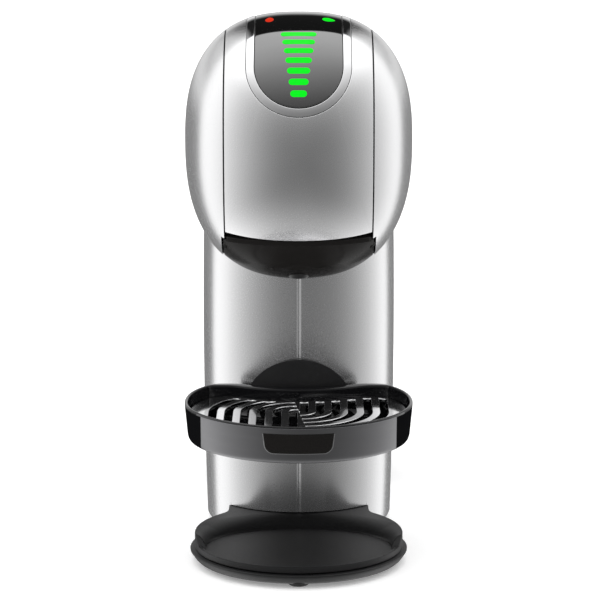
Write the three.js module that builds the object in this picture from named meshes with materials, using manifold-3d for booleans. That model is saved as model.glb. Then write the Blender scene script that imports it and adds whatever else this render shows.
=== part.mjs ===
// Pod coffee machine: millimetres, +Z up, +Y to the rear, -Y to the user.
// The origin is at the middle of the footprint's bounding box, on the surface the machine stands on.
// Rest state: visor closed, capsule holder pushed in, drip tray in its upper place, water tank on its seat.

import * as THREE from 'three';
import { mergeVertices } from 'three/addons/utils/BufferGeometryUtils.js';
import Module from 'manifold-3d';

const wasm = await Module();
wasm.setup();

// ---- Driving dimensions ----

const GAP = 0.3;
const WALL = 2.4;
const HALF_DEPTH = 143;

// The head is an egg: superellipse sections across X and Z, which shrink to a dome at the front,
// sink gently towards the rear and close in a rounded back.
const HEAD = {
  halfWidth: 56.4, up: 63.5, down: 69, z: 208, topPower: 2.55, bottomPower: 2.45,
  domeY: -60, domeDepth: 65, shoulderY: 62, backY: 78, backPower: 3.5, rearDrop: 24, dropPower: 1.6,
};
const SEAM_X = 36;
const SEAM_WIDTH = 1;
const VISOR_BOTTOM = 166.2;
const HINGE = { y: 5, z: 250, barrel: 15.5, pin: 2, lugInner: 31.5, pinHalf: 36.9 };
const COVER_FRONT = HINGE.y + HINGE.barrel + 0.8;

// Touch panel: a U in front view that runs over the top of the head.
const PANEL = { halfWidth: 21.3, arcHeight: 18.6, arcZ: 248.6, rimWidth: 4, rearY: -16, thickness: 3 };
const BAR = {
  count: 7, lowestAngle: 26.9, pitchAngle: 5.52, height: 3.4, narrow: 7.9, step: 1.57, depth: 1.1,
};
const ICON = { x: 14.4, angle: 75.5, radius: 2.3 };

const HOLDER = { halfWidth: 35.2, top: 165.5, rearY: -52, pocketY: -79, pocketTop: 23, pocketBottom: 14 };
const POCKET_FLOOR = 151;
const NOZZLE = { radius: 5, bore: 1.8, bottom: 142 };
const RAIL = { z: 158, height: 2, inner: 33, frontY: -88 };

const COLUMN = {
  halfWidth: 50.1, waistZ: 105, waist: 0.00016, frontY: -50, sideEndY: 70, bottom: 2, top: 171,
};
const REAR_COVER_TOP = 171;

const BASE = { y: -84, radius: 54.5, bottom: 3.6, top: 6.5, neck: 36, plinth: 45 };
const DISH = {
  radius: 52, bottom: 6.8, floor: 9.1, lip: 10.1, deck: 14.2,
  scoopY: -97, scoopX: 46, scoopDepth: 35, cutTopY: -91, cutFootY: -100,
};
const FOOT = { radius: 6, height: 3.8, recess: 0.5 };

const TRAY = {
  y: -84, halfWidth: 56.9, front: 59, backY: -43, wrap: 53, rim: 81, bottom: 62.5, wall: 2.2,
  taper: [[62.5, 3.2], [63.3, 2.1], [68, 1.35], [75, 0.7], [81, 0]],
};
const GRID = {
  top: 75, thickness: 2, inset: 3.2, margin: 2, slot: 4.1, pitch: 8, first: 2.7, count: 6, turnY: -82,
};
const BAND = { halfWidth: 47.5, bottom: 63.4, top: 80, thickness: 0.7 };
const BADGE = { topHalf: 16.9, bottomHalf: 13.4, height: 9.3, z: 72.4, corner: 4 };
const BRACKET = { radius: 28.5, z: 66.5, bottom: 62.5, thickness: 2.2 };

const TANK = { frontY: 80, halfWidth: 46, bottom: 12.4, top: 225, wall: 2.2, corner: 26 };
const SEAT = { bottom: 6.8, top: 12, recess: 9.5 };
const VALVE = { y: 108, stem: 5.2, flange: 8, bottom: 9.2, top: 18 };
const PUMP = { x: -17, y: 14, z: 44, radius: 12, coil: 19, length: 54, nipple: 7 };
const FLOW = { x: 24, y: 14, z: 27.4, radius: 13, spoutZ: 35, spout: 3.2 };
const HOSE_RADIUS = 2.6;
const BUTTON = { y: 45, radius: 8, depth: 6, proud: 0.8 };
const GLAND = { y: 58, z: 16, radius: 5, bore: 3.4, inner: 42, outer: 49 };

// ---- Solids from three.js geometries ----

function toSolid(geometry) {
  const plain = geometry.clone();
  plain.deleteAttribute('normal');
  plain.deleteAttribute('uv');
  const merged = mergeVertices(plain, 1e-4);
  return new wasm.Manifold(new wasm.Mesh({
    numProp: 3,
    vertProperties: new Float32Array(merged.attributes.position.array),
    triVerts: new Uint32Array(merged.index.array),
  }));
}

function toGeometry(solid) {
  const mesh = solid.getMesh();
  const geometry = new THREE.BufferGeometry();
  geometry.setAttribute('position', new THREE.BufferAttribute(mesh.vertProperties, 3));
  geometry.setIndex(new THREE.BufferAttribute(mesh.triVerts, 1));
  geometry.computeVertexNormals();
  return geometry;
}

function join(solids) {
  return solids.reduce((whole, piece) => whole.add(piece));
}

function block(x0, x1, y0, y1, z0, z1) {
  const geometry = new THREE.BoxGeometry(x1 - x0, y1 - y0, z1 - z0);
  geometry.translate((x0 + x1) / 2, (y0 + y1) / 2, (z0 + z1) / 2);
  return toSolid(geometry);
}

// A frustum along +Z from z0 (radius r0) to z1 (radius r1).
function frustum(x, y, r0, r1, z0, z1, segments = 24) {
  const geometry = new THREE.CylinderGeometry(r1, r0, z1 - z0, segments);
  geometry.rotateX(Math.PI / 2);
  geometry.translate(x, y, (z0 + z1) / 2);
  return toSolid(geometry);
}

function post(x, y, radius, z0, z1, segments = 24) {
  return frustum(x, y, radius, radius, z0, z1, segments);
}

// A cylinder along X.
function rod(x0, x1, y, z, radius, segments = 24) {
  const geometry = new THREE.CylinderGeometry(radius, radius, x1 - x0, segments);
  geometry.rotateZ(Math.PI / 2);
  geometry.translate((x0 + x1) / 2, y, z);
  return toSolid(geometry);
}

// A plan outline of [x, y] points raised from z0 to z1.
function raise(points, z0, z1) {
  const shape = new THREE.Shape(points.map(([x, y]) => new THREE.Vector2(x, y)));
  const geometry = new THREE.ExtrudeGeometry(shape, { depth: z1 - z0, bevelEnabled: false });
  geometry.translate(0, 0, z0);
  return toSolid(geometry);
}

// A front-view outline of [x, z] points pushed through from y0 to y1.
function pushThrough(points, y0, y1) {
  const shape = new THREE.Shape(points.map(([x, z]) => new THREE.Vector2(x, z)));
  const geometry = new THREE.ExtrudeGeometry(shape, { depth: y1 - y0, bevelEnabled: false });
  geometry.rotateX(Math.PI / 2);
  geometry.translate(0, y1, 0);
  return toSolid(geometry);
}

// A skin over rings of equally many points, closed by a fan to a point at each end.
function loft(rings, startPoint, endPoint) {
  const count = rings[0].length;
  const points = [...rings.flat(), startPoint, endPoint];
  const start = points.length - 2;
  const end = points.length - 1;
  const lastRing = (rings.length - 1) * count;
  const index = [];
  for (let i = 0; i < count; i += 1) {
    const next = (i + 1) % count;
    index.push(start, next, i);
    index.push(end, lastRing + i, lastRing + next);
    for (let base = 0; base < lastRing; base += count) {
      index.push(base + i, base + next, base + count + next);
      index.push(base + i, base + count + next, base + count + i);
    }
  }
  const geometry = new THREE.BufferGeometry().setFromPoints(points);
  geometry.setIndex(index);
  const solid = toSolid(geometry);
  if (solid.volume() > 0) return solid;
  geometry.setIndex(index.toReversed());
  return toSolid(geometry);
}

// A stack of plan outlines: levels of [z, outline points].
function stack(levels, centreY) {
  const rings = levels.map(([z, points]) => points.map(([x, y]) => new THREE.Vector3(x, y, z)));
  const first = new THREE.Vector3(0, centreY, levels[0][0]);
  const last = new THREE.Vector3(0, centreY, levels.at(-1)[0]);
  return loft(rings, first, last);
}

function arc(cx, cy, rx, ry, fromDegrees, toDegrees, steps) {
  const points = [];
  for (let i = 0; i <= steps; i += 1) {
    const angle = THREE.MathUtils.degToRad(fromDegrees + (toDegrees - fromDegrees) * i / steps);
    points.push([cx + rx * Math.cos(angle), cy + ry * Math.sin(angle)]);
  }
  return points;
}

function roundedBox(x0, x1, y0, y1, radius, steps = 4) {
  return [
    ...arc(x1 - radius, y1 - radius, radius, radius, 0, 90, steps),
    ...arc(x0 + radius, y1 - radius, radius, radius, 90, 180, steps),
    ...arc(x0 + radius, y0 + radius, radius, radius, 180, 270, steps),
    ...arc(x1 - radius, y0 + radius, radius, radius, 270, 360, steps),
  ];
}

// ---- Head body ----

const RING_POINTS = 32;

function headDrop(y) {
  const along = Math.max(0, y - HEAD.domeY) / (HEAD.backY - HEAD.domeY);
  return HEAD.rearDrop * along ** HEAD.dropPower;
}

function headTop(y) {
  return HEAD.z + HEAD.up - headDrop(y);
}

function headScale(y, inset) {
  if (y < HEAD.domeY) {
    return Math.sqrt(1 - ((HEAD.domeY - y) / (HEAD.domeDepth - inset)) ** 2);
  }
  if (y > HEAD.shoulderY) {
    const along = (y - HEAD.shoulderY) / (HEAD.backY - inset - HEAD.shoulderY);
    return (1 - along ** HEAD.backPower) ** (1 / HEAD.backPower);
  }
  return 1;
}

function headRing(y, inset) {
  const scale = headScale(y, inset);
  const up = (HEAD.up - headDrop(y) - inset) * scale;
  const down = (HEAD.down - inset) * scale;
  const halfWidth = (HEAD.halfWidth - inset) * scale;
  const ring = [];
  for (let i = 0; i < RING_POINTS; i += 1) {
    const angle = 2 * Math.PI * i / RING_POINTS;
    const power = Math.sin(angle) >= 0 ? HEAD.topPower : HEAD.bottomPower;
    const across = Math.sign(Math.cos(angle)) * Math.abs(Math.cos(angle)) ** (2 / power);
    const rise = Math.sign(Math.sin(angle)) * Math.abs(Math.sin(angle)) ** (2 / power);
    ring.push(new THREE.Vector3(halfWidth * across, y, HEAD.z + (rise > 0 ? up : down) * rise));
  }
  return ring;
}

function headSolid(inset) {
  const depth = HEAD.domeDepth - inset;
  const stations = [];
  for (const degrees of [80, 65, 50, 34, 17]) {
    stations.push(HEAD.domeY - depth * Math.sin(THREE.MathUtils.degToRad(degrees)));
  }
  const middleSteps = 3;
  for (let i = 0; i <= middleSteps; i += 1) {
    stations.push(THREE.MathUtils.lerp(HEAD.domeY, HEAD.shoulderY, i / middleSteps));
  }
  for (const along of [0.65, 0.93, 0.995]) {
    stations.push(THREE.MathUtils.lerp(HEAD.shoulderY, HEAD.backY - inset, along));
  }
  const front = new THREE.Vector3(0, HEAD.domeY - depth, HEAD.z);
  const back = new THREE.Vector3(0, HEAD.backY - inset, HEAD.z);
  return loft(stations.map((y) => headRing(y, inset)), front, back);
}

const head = headSolid(0);
const headInside = headSolid(WALL);
const headSkin = head.subtract(headInside);
const headClearance = headSolid(-GAP);
const sideStart = SEAM_X + SEAM_WIDTH / 2;
const middleHalf = SEAM_X - SEAM_WIDTH / 2;
const FAR = 200;

function makeHeadShell(side) {
  const half = side < 0 ? block(-FAR, -sideStart, -FAR, FAR, 0, 2 * FAR)
    : block(sideStart, FAR, -FAR, FAR, 0, 2 * FAR);
  return headSkin.intersect(half);
}

function makeTopCover() {
  const upper = block(-middleHalf, middleHalf, COVER_FRONT, FAR, REAR_COVER_TOP, 2 * FAR);
  const rearFace = block(-middleHalf, middleHalf, HEAD.shoulderY + 4, FAR, HEAD.z - HEAD.down + 4, 2 * FAR);
  const region = upper.add(rearFace);
  const hole = buttonCylinder(BUTTON.radius + 0.4, -12, 6);
  return headSkin.intersect(region).subtract(hole);
}

function makeHeadFrame() {
  const inner = headSolid(WALL + 0.4);
  const plates = [-1, 1].map((side) => {
    const x0 = Math.min(side * (SEAM_X + 0.3), side * (SEAM_X + 2.8));
    return block(x0, x0 + 2.5, -112, 68, 120, 280).intersect(inner);
  });
  const plateInner = SEAM_X + 0.45;
  const deck = block(-plateInner, plateInner, -50, 56, 174, 176.5);
  const deckHole = block(-20, 20, 20, 50, 170, 180);
  const rails = [-1, 1].map((side) => {
    const x0 = side < 0 ? -plateInner : RAIL.inner;
    return block(x0, x0 + plateInner - RAIL.inner, RAIL.frontY, -54, RAIL.z, RAIL.z + RAIL.height);
  });
  const pinHole = rod(-60, 60, HINGE.y, HINGE.z, HINGE.pin + GAP, 12);
  return join([...plates, deck.subtract(deckHole), ...rails]).subtract(pinHole);
}

// ---- Visor, the lever that opens upwards ----

function panelOutline(grow) {
  const halfWidth = PANEL.halfWidth + grow;
  const arcHeight = PANEL.arcHeight + grow;
  return [
    [halfWidth, 2 * FAR],
    [-halfWidth, 2 * FAR],
    ...arc(0, PANEL.arcZ, halfWidth, arcHeight, 180, 360, 12),
  ];
}

function panelPrism(grow) {
  return pushThrough(panelOutline(grow), -FAR, PANEL.rearY + grow);
}

// A tool placed on the head's round front profile, at an angle above the horizontal.
function onProfile(geometry, x, degrees) {
  const angle = THREE.MathUtils.degToRad(degrees);
  const placed = geometry.clone();
  placed.rotateX(Math.PI / 2 - angle);
  placed.translate(x, HEAD.domeY - HEAD.domeDepth * Math.cos(angle), HEAD.z + HEAD.up * Math.sin(angle));
  return toSolid(placed);
}

function barTool(number, grow) {
  const radius = BAR.height / 2 + grow;
  const half = (BAR.narrow + BAR.step * number) / 2 - BAR.height / 2;
  const outline = [
    ...arc(half, 0, radius, radius, -90, 90, 4),
    ...arc(-half, 0, radius, radius, 90, 270, 4),
  ];
  const shape = new THREE.Shape(outline.map(([x, y]) => new THREE.Vector2(x, y)));
  const geometry = new THREE.ExtrudeGeometry(shape, { depth: 6, bevelEnabled: false });
  geometry.translate(0, 0, -3);
  return onProfile(geometry, 0, BAR.lowestAngle + BAR.pitchAngle * number);
}

function iconTool(side, grow) {
  const geometry = new THREE.CylinderGeometry(ICON.radius + grow, ICON.radius + grow, 8, 12);
  geometry.rotateX(Math.PI / 2);
  return onProfile(geometry, side * ICON.x, ICON.angle);
}

const panelFace = headSolid(0.2);
const lightBed = headSolid(0.2 + BAR.depth);
const lightLayer = headSolid(0.25).subtract(lightBed);
const panelBack = headSolid(PANEL.thickness);

function makeTouchPanel() {
  const plate = panelFace.subtract(panelBack).intersect(panelPrism(-GAP / 2));
  const windows = [];
  for (let number = 0; number < BAR.count; number += 1) {
    windows.push(barTool(number, GAP));
  }
  windows.push(iconTool(-1, GAP), iconTool(1, GAP));
  const pockets = join(windows).subtract(headSolid(0.2 + BAR.depth + GAP));
  return plate.subtract(pockets);
}

function makeTrimRing() {
  const ring = panelPrism(PANEL.rimWidth - GAP / 2).subtract(panelPrism(GAP / 2));
  return head.subtract(panelBack).intersect(ring);
}

function makePanelBoard() {
  const layer = headSolid(PANEL.thickness + GAP).subtract(headSolid(PANEL.thickness + 2.4));
  return layer.intersect(panelPrism(PANEL.rimWidth + 3));
}

function makeVisorShell() {
  const region = block(-middleHalf, middleHalf, -FAR, HINGE.y, VISOR_BOTTOM, 2 * FAR);
  const opening = panelPrism(PANEL.rimWidth + GAP / 2);
  const front = headSkin.intersect(region).subtract(opening);
  const barrel = rod(-middleHalf, middleHalf, HINGE.y, HINGE.z, HINGE.barrel, 24);
  const hollow = rod(-60, 60, HINGE.y, HINGE.z, HINGE.barrel - WALL, 24).intersect(headInside);
  const behind = block(-60, 60, HINGE.y - 0.5, 60, HINGE.z - 2, 300);
  const rearLip = barrel.subtract(hollow).intersect(behind).intersect(head);
  const lugs = [-1, 1].map((side) => {
    const x0 = side < 0 ? -middleHalf : HINGE.lugInner;
    return rod(x0, x0 + middleHalf - HINGE.lugInner, HINGE.y, HINGE.z, HINGE.barrel, 24).intersect(head);
  });
  const pinHole = rod(-60, 60, HINGE.y, HINGE.z, HINGE.pin + GAP, 12);
  return join([front, rearLip, ...lugs]).subtract(pinHole);
}

// ---- Capsule holder and brewing parts ----

function makeCapsuleHolder() {
  const body = headSolid(0.5).intersect(
    block(-HOLDER.halfWidth, HOLDER.halfWidth, -FAR, HOLDER.rearY, 100, HOLDER.top));
  const pocket = frustum(
    0, HOLDER.pocketY, HOLDER.pocketBottom, HOLDER.pocketTop, POCKET_FLOOR, HOLDER.top + 0.1);
  const outlet = post(0, HOLDER.pocketY, NOZZLE.radius + GAP, 130, POCKET_FLOOR + 1);
  const grooveInner = RAIL.inner - 0.5;
  const grooves = [-1, 1].map((side) => {
    const x0 = side < 0 ? -60 : grooveInner;
    return block(x0, x0 + 60 - grooveInner, RAIL.frontY - 2, 0, RAIL.z - 0.5, RAIL.z + RAIL.height + 0.5);
  });
  return body.subtract(join([pocket, outlet, ...grooves]));
}

function makeOutletNozzle() {
  const tube = post(0, HOLDER.pocketY, NOZZLE.radius, NOZZLE.bottom, POCKET_FLOOR - GAP);
  return tube.subtract(post(0, HOLDER.pocketY, NOZZLE.bore, 100, 200, 12));
}

const PLATE_BOTTOM = 168.6;
const STEM_TOP = 188;

function makeNeedlePlate() {
  const plate = post(0, HOLDER.pocketY, 22, PLATE_BOTTOM, PLATE_BOTTOM + 3.4);
  const stem = post(0, HOLDER.pocketY, 6.5, PLATE_BOTTOM, STEM_TOP, 16);
  const socket = post(0, HOLDER.pocketY, 3.6, PLATE_BOTTOM + 7, STEM_TOP + 1, 12);
  const seat = post(0, HOLDER.pocketY, 1.6, PLATE_BOTTOM - 1, STEM_TOP, 8);
  return plate.add(stem).subtract(socket).subtract(seat);
}

function makeNeedle() {
  const tube = frustum(0, HOLDER.pocketY, 0.7, 1.3, 166.4, 174, 8);
  return tube.subtract(post(0, HOLDER.pocketY, 0.4, 160, 180, 6));
}

function makeThermoblock() {
  const body = raise(roundedBox(-26, 26, -38, 16, 8), 177, 199);
  const ribs = [-16, 0, 16].map((x) => block(x - 2, x + 2, -34, 12, 198, 203));
  const inlet = post(14, 20, 4, 186, 192, 16).add(block(11, 17, 12, 20, 186, 192));
  return join([body, ...ribs, inlet]);
}

function hose(points, radius) {
  const path = new THREE.CatmullRomCurve3(points.map((point) => new THREE.Vector3(...point)));
  const section = new THREE.Shape(
    arc(0, 0, radius, radius, 0, 315, 7).map(([x, y]) => new THREE.Vector2(x, y)));
  const steps = Math.ceil(path.getLength() / (5 * radius));
  return new THREE.ExtrudeGeometry(section, { steps, extrudePath: path, bevelEnabled: false });
}

// ---- Column, chassis and pump ----

function columnHalfWidth(z) {
  return COLUMN.halfWidth - COLUMN.waist * (z - COLUMN.waistZ) ** 2;
}

function columnOutline(z, inset, endY) {
  const halfWidth = columnHalfWidth(z) - inset;
  const front = -COLUMN.frontY - inset;
  return [[halfWidth, endY], [-halfWidth, endY], ...arc(0, 0, halfWidth, front, 180, 360, 24)];
}

function columnBody(inset, endY) {
  const levels = [
    [COLUMN.bottom - 2 * (inset > 0), inset + 2],
    [COLUMN.bottom + 0.7, inset + 0.6],
    [COLUMN.bottom + 2, inset],
    [45, inset], [85, inset], [125, inset],
    [COLUMN.top + 2 * (inset > 0), inset],
  ];
  return stack(levels.map(([z, offset]) => [z, columnOutline(z, offset, endY)]), 20);
}

function neckPrism(grow) {
  return block(-BASE.neck - grow, BASE.neck + grow, BASE.y, -20, 0, DISH.deck + grow);
}

function makeColumnShell() {
  const groove = block(-0.5, 0.5, COLUMN.frontY - 5, COLUMN.frontY + 0.7, 0, 200);
  const shell = columnBody(0, COLUMN.sideEndY).subtract(columnBody(WALL, COLUMN.sideEndY + 5));
  const glandHole = rod(GLAND.inner, 70, GLAND.y, GLAND.z, GLAND.radius + GAP, 16);
  return shell.subtract(join([headClearance, neckPrism(GAP), groove, glandHole]));
}

function makeRearCover() {
  const start = COLUMN.sideEndY + GAP + 0.1;
  const end = HEAD.backY;
  const corner = 6;
  const outline = (inset) => [
    [columnHalfWidth(40) - 0.4 - inset, start],
    ...arc(columnHalfWidth(40) - 0.4 - corner, end - corner, corner - inset, corner - inset, 0, 90, 6),
    ...arc(corner + 0.4 - columnHalfWidth(40), end - corner, corner - inset, corner - inset, 90, 180, 6),
    [0.4 + inset - columnHalfWidth(40), start],
  ];
  const outer = raise(outline(0), BASE.top + GAP, REAR_COVER_TOP);
  const inner = raise(outline(WALL).map(([x, y]) => [x, y === start ? y - 1 : y]), 0, REAR_COVER_TOP + 5);
  return outer.subtract(inner).subtract(headClearance).subtract(inletNotch());
}

// Room for the inlet hose through the chassis and the rear cover.
function inletNotch() {
  return block(FLOW.x - 6, FLOW.x + 6, 44, FAR, 0, 34);
}

function makeRearChassis() {
  const lower = block(-42, 42, 60, 62.5, 8, 150);
  const upper = block(-30, 30, 60, 62.5, 140, 236);
  const shelf = block(-40, 40, -12, 61, 24, 27);
  return join([lower, upper, shelf]).subtract(inletNotch());
}

function makePumpBody() {
  const top = PUMP.z + PUMP.length;
  return join([
    post(PUMP.x, PUMP.y, PUMP.radius, PUMP.z, top, 16),
    post(PUMP.x, PUMP.y, PUMP.radius + 4, PUMP.z, PUMP.z + 3, 16),
    post(PUMP.x, PUMP.y, PUMP.radius + 4, top - 6, top - 3, 16),
    post(PUMP.x, PUMP.y, 4, PUMP.z - PUMP.nipple + 2, top + PUMP.nipple, 16),
  ]);
}

function makePumpCoil() {
  const outline = roundedBox(
    PUMP.x - PUMP.coil, PUMP.x + PUMP.coil, PUMP.y - PUMP.coil, PUMP.y + PUMP.coil, 6);
  const bore = post(PUMP.x, PUMP.y, PUMP.radius + GAP, 0, FAR, 16);
  return raise(outline, PUMP.z + 5, PUMP.z + PUMP.length - 8).subtract(bore);
}

function makeFlowMeter() {
  const cup = post(FLOW.x, FLOW.y, FLOW.radius, FLOW.z, FLOW.z + 15, 16);
  const lid = post(FLOW.x, FLOW.y, FLOW.radius - 4, FLOW.z + 15, FLOW.z + 19, 24);
  const outlet = rod(FLOW.x - FLOW.radius - 5, FLOW.x, FLOW.y, FLOW.spoutZ, FLOW.spout, 16);
  const inletEnd = FLOW.y + FLOW.radius + 5;
  const inlet = block(FLOW.x - 2.5, FLOW.x + 2.5, FLOW.y, inletEnd, FLOW.spoutZ - 2.5, FLOW.spoutZ + 2.5);
  return join([cup, lid, outlet, inlet]);
}

function makeControlBoard() {
  const board = block(-27, 27, 55.6, 57.2, 182, 236);
  const parts = [
    block(-22, -4, 42, 56, 188, 206),
    block(4, 20, 48, 56, 192, 204),
    post(14, 50, 5, 208, 226, 16).intersect(block(0, 40, 40, 56.4, 200, 230)),
    block(-20, -8, 50, 56, 214, 228),
    block(9, 19, 50, 56, 208, 226),
  ];
  return join([board, ...parts]);
}

// ---- Base ----

function makeBasePlate() {
  const disc = stack([
    [BASE.bottom, arc(0, BASE.y, BASE.radius - 1.2, BASE.radius - 1.2, 0, 348, 29)],
    [BASE.bottom + 1.2, arc(0, BASE.y, BASE.radius, BASE.radius, 0, 348, 29)],
    [BASE.top, arc(0, BASE.y, BASE.radius, BASE.radius, 0, 348, 29)],
  ], BASE.y);
  const neck = block(-BASE.neck, BASE.neck, BASE.y, 0, BASE.bottom, BASE.top);
  const plinth = raise([
    ...arc(0, -2, BASE.plinth, 41, 180, 360, 24),
    ...roundedBox(-BASE.plinth, BASE.plinth, 0, HALF_DEPTH - 2, 22).slice(0, 10),
  ], BASE.bottom, BASE.top);
  const recessTop = FOOT.height + FOOT.recess + GAP;
  const recesses = footPlaces.map(([, x, y]) => post(x, y, FOOT.radius + GAP, 0, recessTop, 12));
  return join([disc, neck, plinth]).subtract(join(recesses));
}

const footPlaces = [
  ['foot_front', 0, BASE.y - 46],
  ['foot_left', -44, BASE.y],
  ['foot_right', 44, BASE.y],
  ['foot_rear_left', -34, 124],
  ['foot_rear_right', 34, 124],
];

function makeFoot(x, y) {
  return frustum(x, y, FOOT.radius - 1, FOOT.radius, 0, FOOT.height + FOOT.recess, 12);
}

function makeBaseDish() {
  const circle = (radius) => arc(0, BASE.y, radius, radius, 0, 348, 29);
  const disc = stack([
    [DISH.bottom, circle(DISH.radius - 0.6)],
    [DISH.bottom + 0.8, circle(DISH.radius)],
    [DISH.deck, circle(DISH.radius)],
  ], BASE.y);
  const neck = block(-BASE.neck, BASE.neck, BASE.y + 20, -28, DISH.bottom, DISH.deck);
  const scoopRing = (grow) => arc(
    0, DISH.scoopY + grow / 2, DISH.scoopX + grow, DISH.scoopDepth + grow, 0, 348, 29);
  const scoop = stack([
    [DISH.floor, scoopRing(0)],
    [DISH.floor + 1.6, scoopRing(1.2)],
    [DISH.deck + 0.1, scoopRing(4.5)],
  ], DISH.scoopY);
  const frontCut = pushThroughSide([
    [-FAR, DISH.lip], [DISH.cutFootY, DISH.lip], [DISH.cutTopY, DISH.deck], [DISH.cutTopY, FAR], [-FAR, FAR],
  ]);
  const columnCut = columnBody(-GAP, 100);
  return disc.add(neck).subtract(join([scoop, frontCut, columnCut]));
}

// A side-view outline of [y, z] points pushed through along X.
function pushThroughSide(points) {
  const shape = new THREE.Shape(points.map(([y, z]) => new THREE.Vector2(y, z)));
  const geometry = new THREE.ExtrudeGeometry(shape, { depth: 2 * FAR, bevelEnabled: false });
  geometry.applyMatrix4(new THREE.Matrix4().set(0, 0, 1, -FAR, 1, 0, 0, 0, 0, 1, 0, 0, 0, 0, 0, 1));
  return toSolid(geometry);
}

// ---- Drip tray ----

// The plan outline of the tray: a round plate cut straight at the back, with a bay around the column.
function trayOutline(inset) {
  const halfWidth = TRAY.halfWidth - inset;
  const front = TRAY.front - inset;
  const rear = TRAY.halfWidth - inset;
  const backY = TRAY.backY - inset;
  const bay = TRAY.wrap + inset;
  const rearAngle = THREE.MathUtils.radToDeg(Math.asin((backY - TRAY.y) / rear));
  const bayAngle = THREE.MathUtils.radToDeg(Math.acos(Math.sqrt(bay ** 2 - backY ** 2) / bay));
  return [
    ...arc(0, TRAY.y, halfWidth, front, 180, 360, 18),
    ...arc(0, TRAY.y, halfWidth, rear, 0, rearAngle, 4).slice(1),
    ...arc(0, 0, bay, bay, 360 - bayAngle, 180 + bayAngle, 8),
    ...arc(0, TRAY.y, halfWidth, rear, 180 - rearAngle, 180, 4).slice(0, -1),
  ];
}

function trayBody(inset) {
  return stack(TRAY.taper.map(([z, taper]) => [z, trayOutline(taper + inset)]), TRAY.y);
}

function bandRegion(grow) {
  const halfWidth = BAND.halfWidth + grow;
  return block(-halfWidth, halfWidth, -FAR, TRAY.y, BAND.bottom - grow, BAND.top + grow);
}

function badgePrism(grow) {
  const top = BADGE.z + BADGE.height / 2 + grow;
  const bottom = BADGE.z - BADGE.height / 2 - grow;
  const lean = 0.6;
  const half = BADGE.topHalf + grow;
  const low = BADGE.bottomHalf + grow;
  return pushThrough([
    [half, top], [-half, top], [-half + lean, bottom + BADGE.corner], [-low, bottom], [low, bottom],
    [half - lean, bottom + BADGE.corner],
  ], -FAR, TRAY.y);
}

function makeDripTray() {
  const cavity = stack([
    [65, trayOutline(9)], [67, trayOutline(6)], [70, trayOutline(TRAY.wall + 1.4)],
    [TRAY.rim + 1, trayOutline(TRAY.wall - 0.3)],
  ], TRAY.y);
  const bandSeat = trayBody(-1).subtract(trayBody(BAND.thickness + GAP)).intersect(bandRegion(GAP));
  const posts = [[-38, -84], [38, -84], [0, -128], [0, -62]].map(
    ([x, y]) => post(x, y, 3, 63.5, GRID.top - GRID.thickness - GAP, 12));
  return trayBody(0).subtract(cavity).subtract(bandSeat).add(join(posts));
}

function makeTrayBand() {
  const skin = trayBody(0).subtract(trayBody(BAND.thickness));
  return skin.intersect(bandRegion(0)).subtract(badgePrism(GAP));
}

function makeTrayBadge() {
  return trayBody(0).subtract(trayBody(BAND.thickness)).intersect(badgePrism(0));
}

// One slot: straight from the rim towards the middle line, then a quarter turn around the tray's middle.
function slotOutline(radius) {
  const edge = (offset) => [
    [-radius - offset, -FAR],
    ...arc(0, GRID.turnY, radius + offset, radius + offset, 180, 98, 4),
  ];
  return [...edge(GRID.slot / 2), ...edge(-GRID.slot / 2).reverse()];
}

function makeDripGrid() {
  const bottom = GRID.top - GRID.thickness;
  const plate = raise(trayOutline(GRID.inset), bottom, GRID.top);
  const field = raise(trayOutline(GRID.inset + GRID.margin), bottom - 1, GRID.top + 1);
  const slots = [];
  for (let i = 0; i < GRID.count; i += 1) {
    const outline = slotOutline(GRID.first + GRID.pitch * i);
    const middleY = GRID.turnY;
    slots.push(raise(outline, bottom - 1, GRID.top + 1));
    slots.push(raise(outline.map(([x, y]) => [-x, 2 * middleY - y]), bottom - 1, GRID.top + 1));
  }
  return plate.subtract(join(slots).intersect(field));
}

function makeTrayBracket() {
  const outer = BRACKET.thickness + GAP - COLUMN.frontY;
  const inner = post(0, 0, GAP - COLUMN.frontY, 0, FAR, 64);
  const sheet = post(0, 0, outer, BRACKET.bottom, FAR, 64).subtract(inner);
  const arch = pushThrough([
    [BRACKET.radius, BRACKET.bottom],
    ...arc(0, BRACKET.z, BRACKET.radius, BRACKET.radius, 0, 180, 16),
    [-BRACKET.radius, BRACKET.bottom],
  ], -60, -20);
  return sheet.intersect(arch);
}

// ---- Water tank ----

function tankOutline(inset) {
  return roundedBox(-TANK.halfWidth + inset, TANK.halfWidth - inset,
    TANK.frontY + inset, HALF_DEPTH - inset, TANK.corner - inset, 6);
}

function makeTankBody() {
  const outer = raise(tankOutline(0), TANK.bottom, TANK.top);
  const inner = raise(tankOutline(TANK.wall), TANK.bottom + 2.6, TANK.top + 1);
  return outer.subtract(inner).subtract(post(0, VALVE.y, VALVE.stem + GAP, 0, 20, 16));
}

function makeTankLid() {
  const plate = raise(tankOutline(0), TANK.top + GAP, TANK.top + 3);
  const grip = block(-12, 12, TANK.frontY + 4, TANK.frontY + 8, TANK.top + 3, TANK.top + 5);
  return plate.add(grip);
}

function makeTankValve() {
  const stem = post(0, VALVE.y, VALVE.stem, VALVE.bottom, VALVE.top, 16);
  const flange = post(0, VALVE.y, VALVE.flange, TANK.bottom + 2.6 + GAP, TANK.bottom + 5, 16);
  return stem.add(flange);
}

function makeTankSeat() {
  const plate = raise(roundedBox(-TANK.halfWidth + 2, TANK.halfWidth - 2,
    TANK.frontY, HALF_DEPTH - 3, TANK.corner - 3, 6), SEAT.bottom, SEAT.top);
  return plate.subtract(post(0, VALVE.y, SEAT.recess, SEAT.bottom + 1.2, SEAT.top + 1, 16));
}

// ---- Small parts ----

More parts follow.
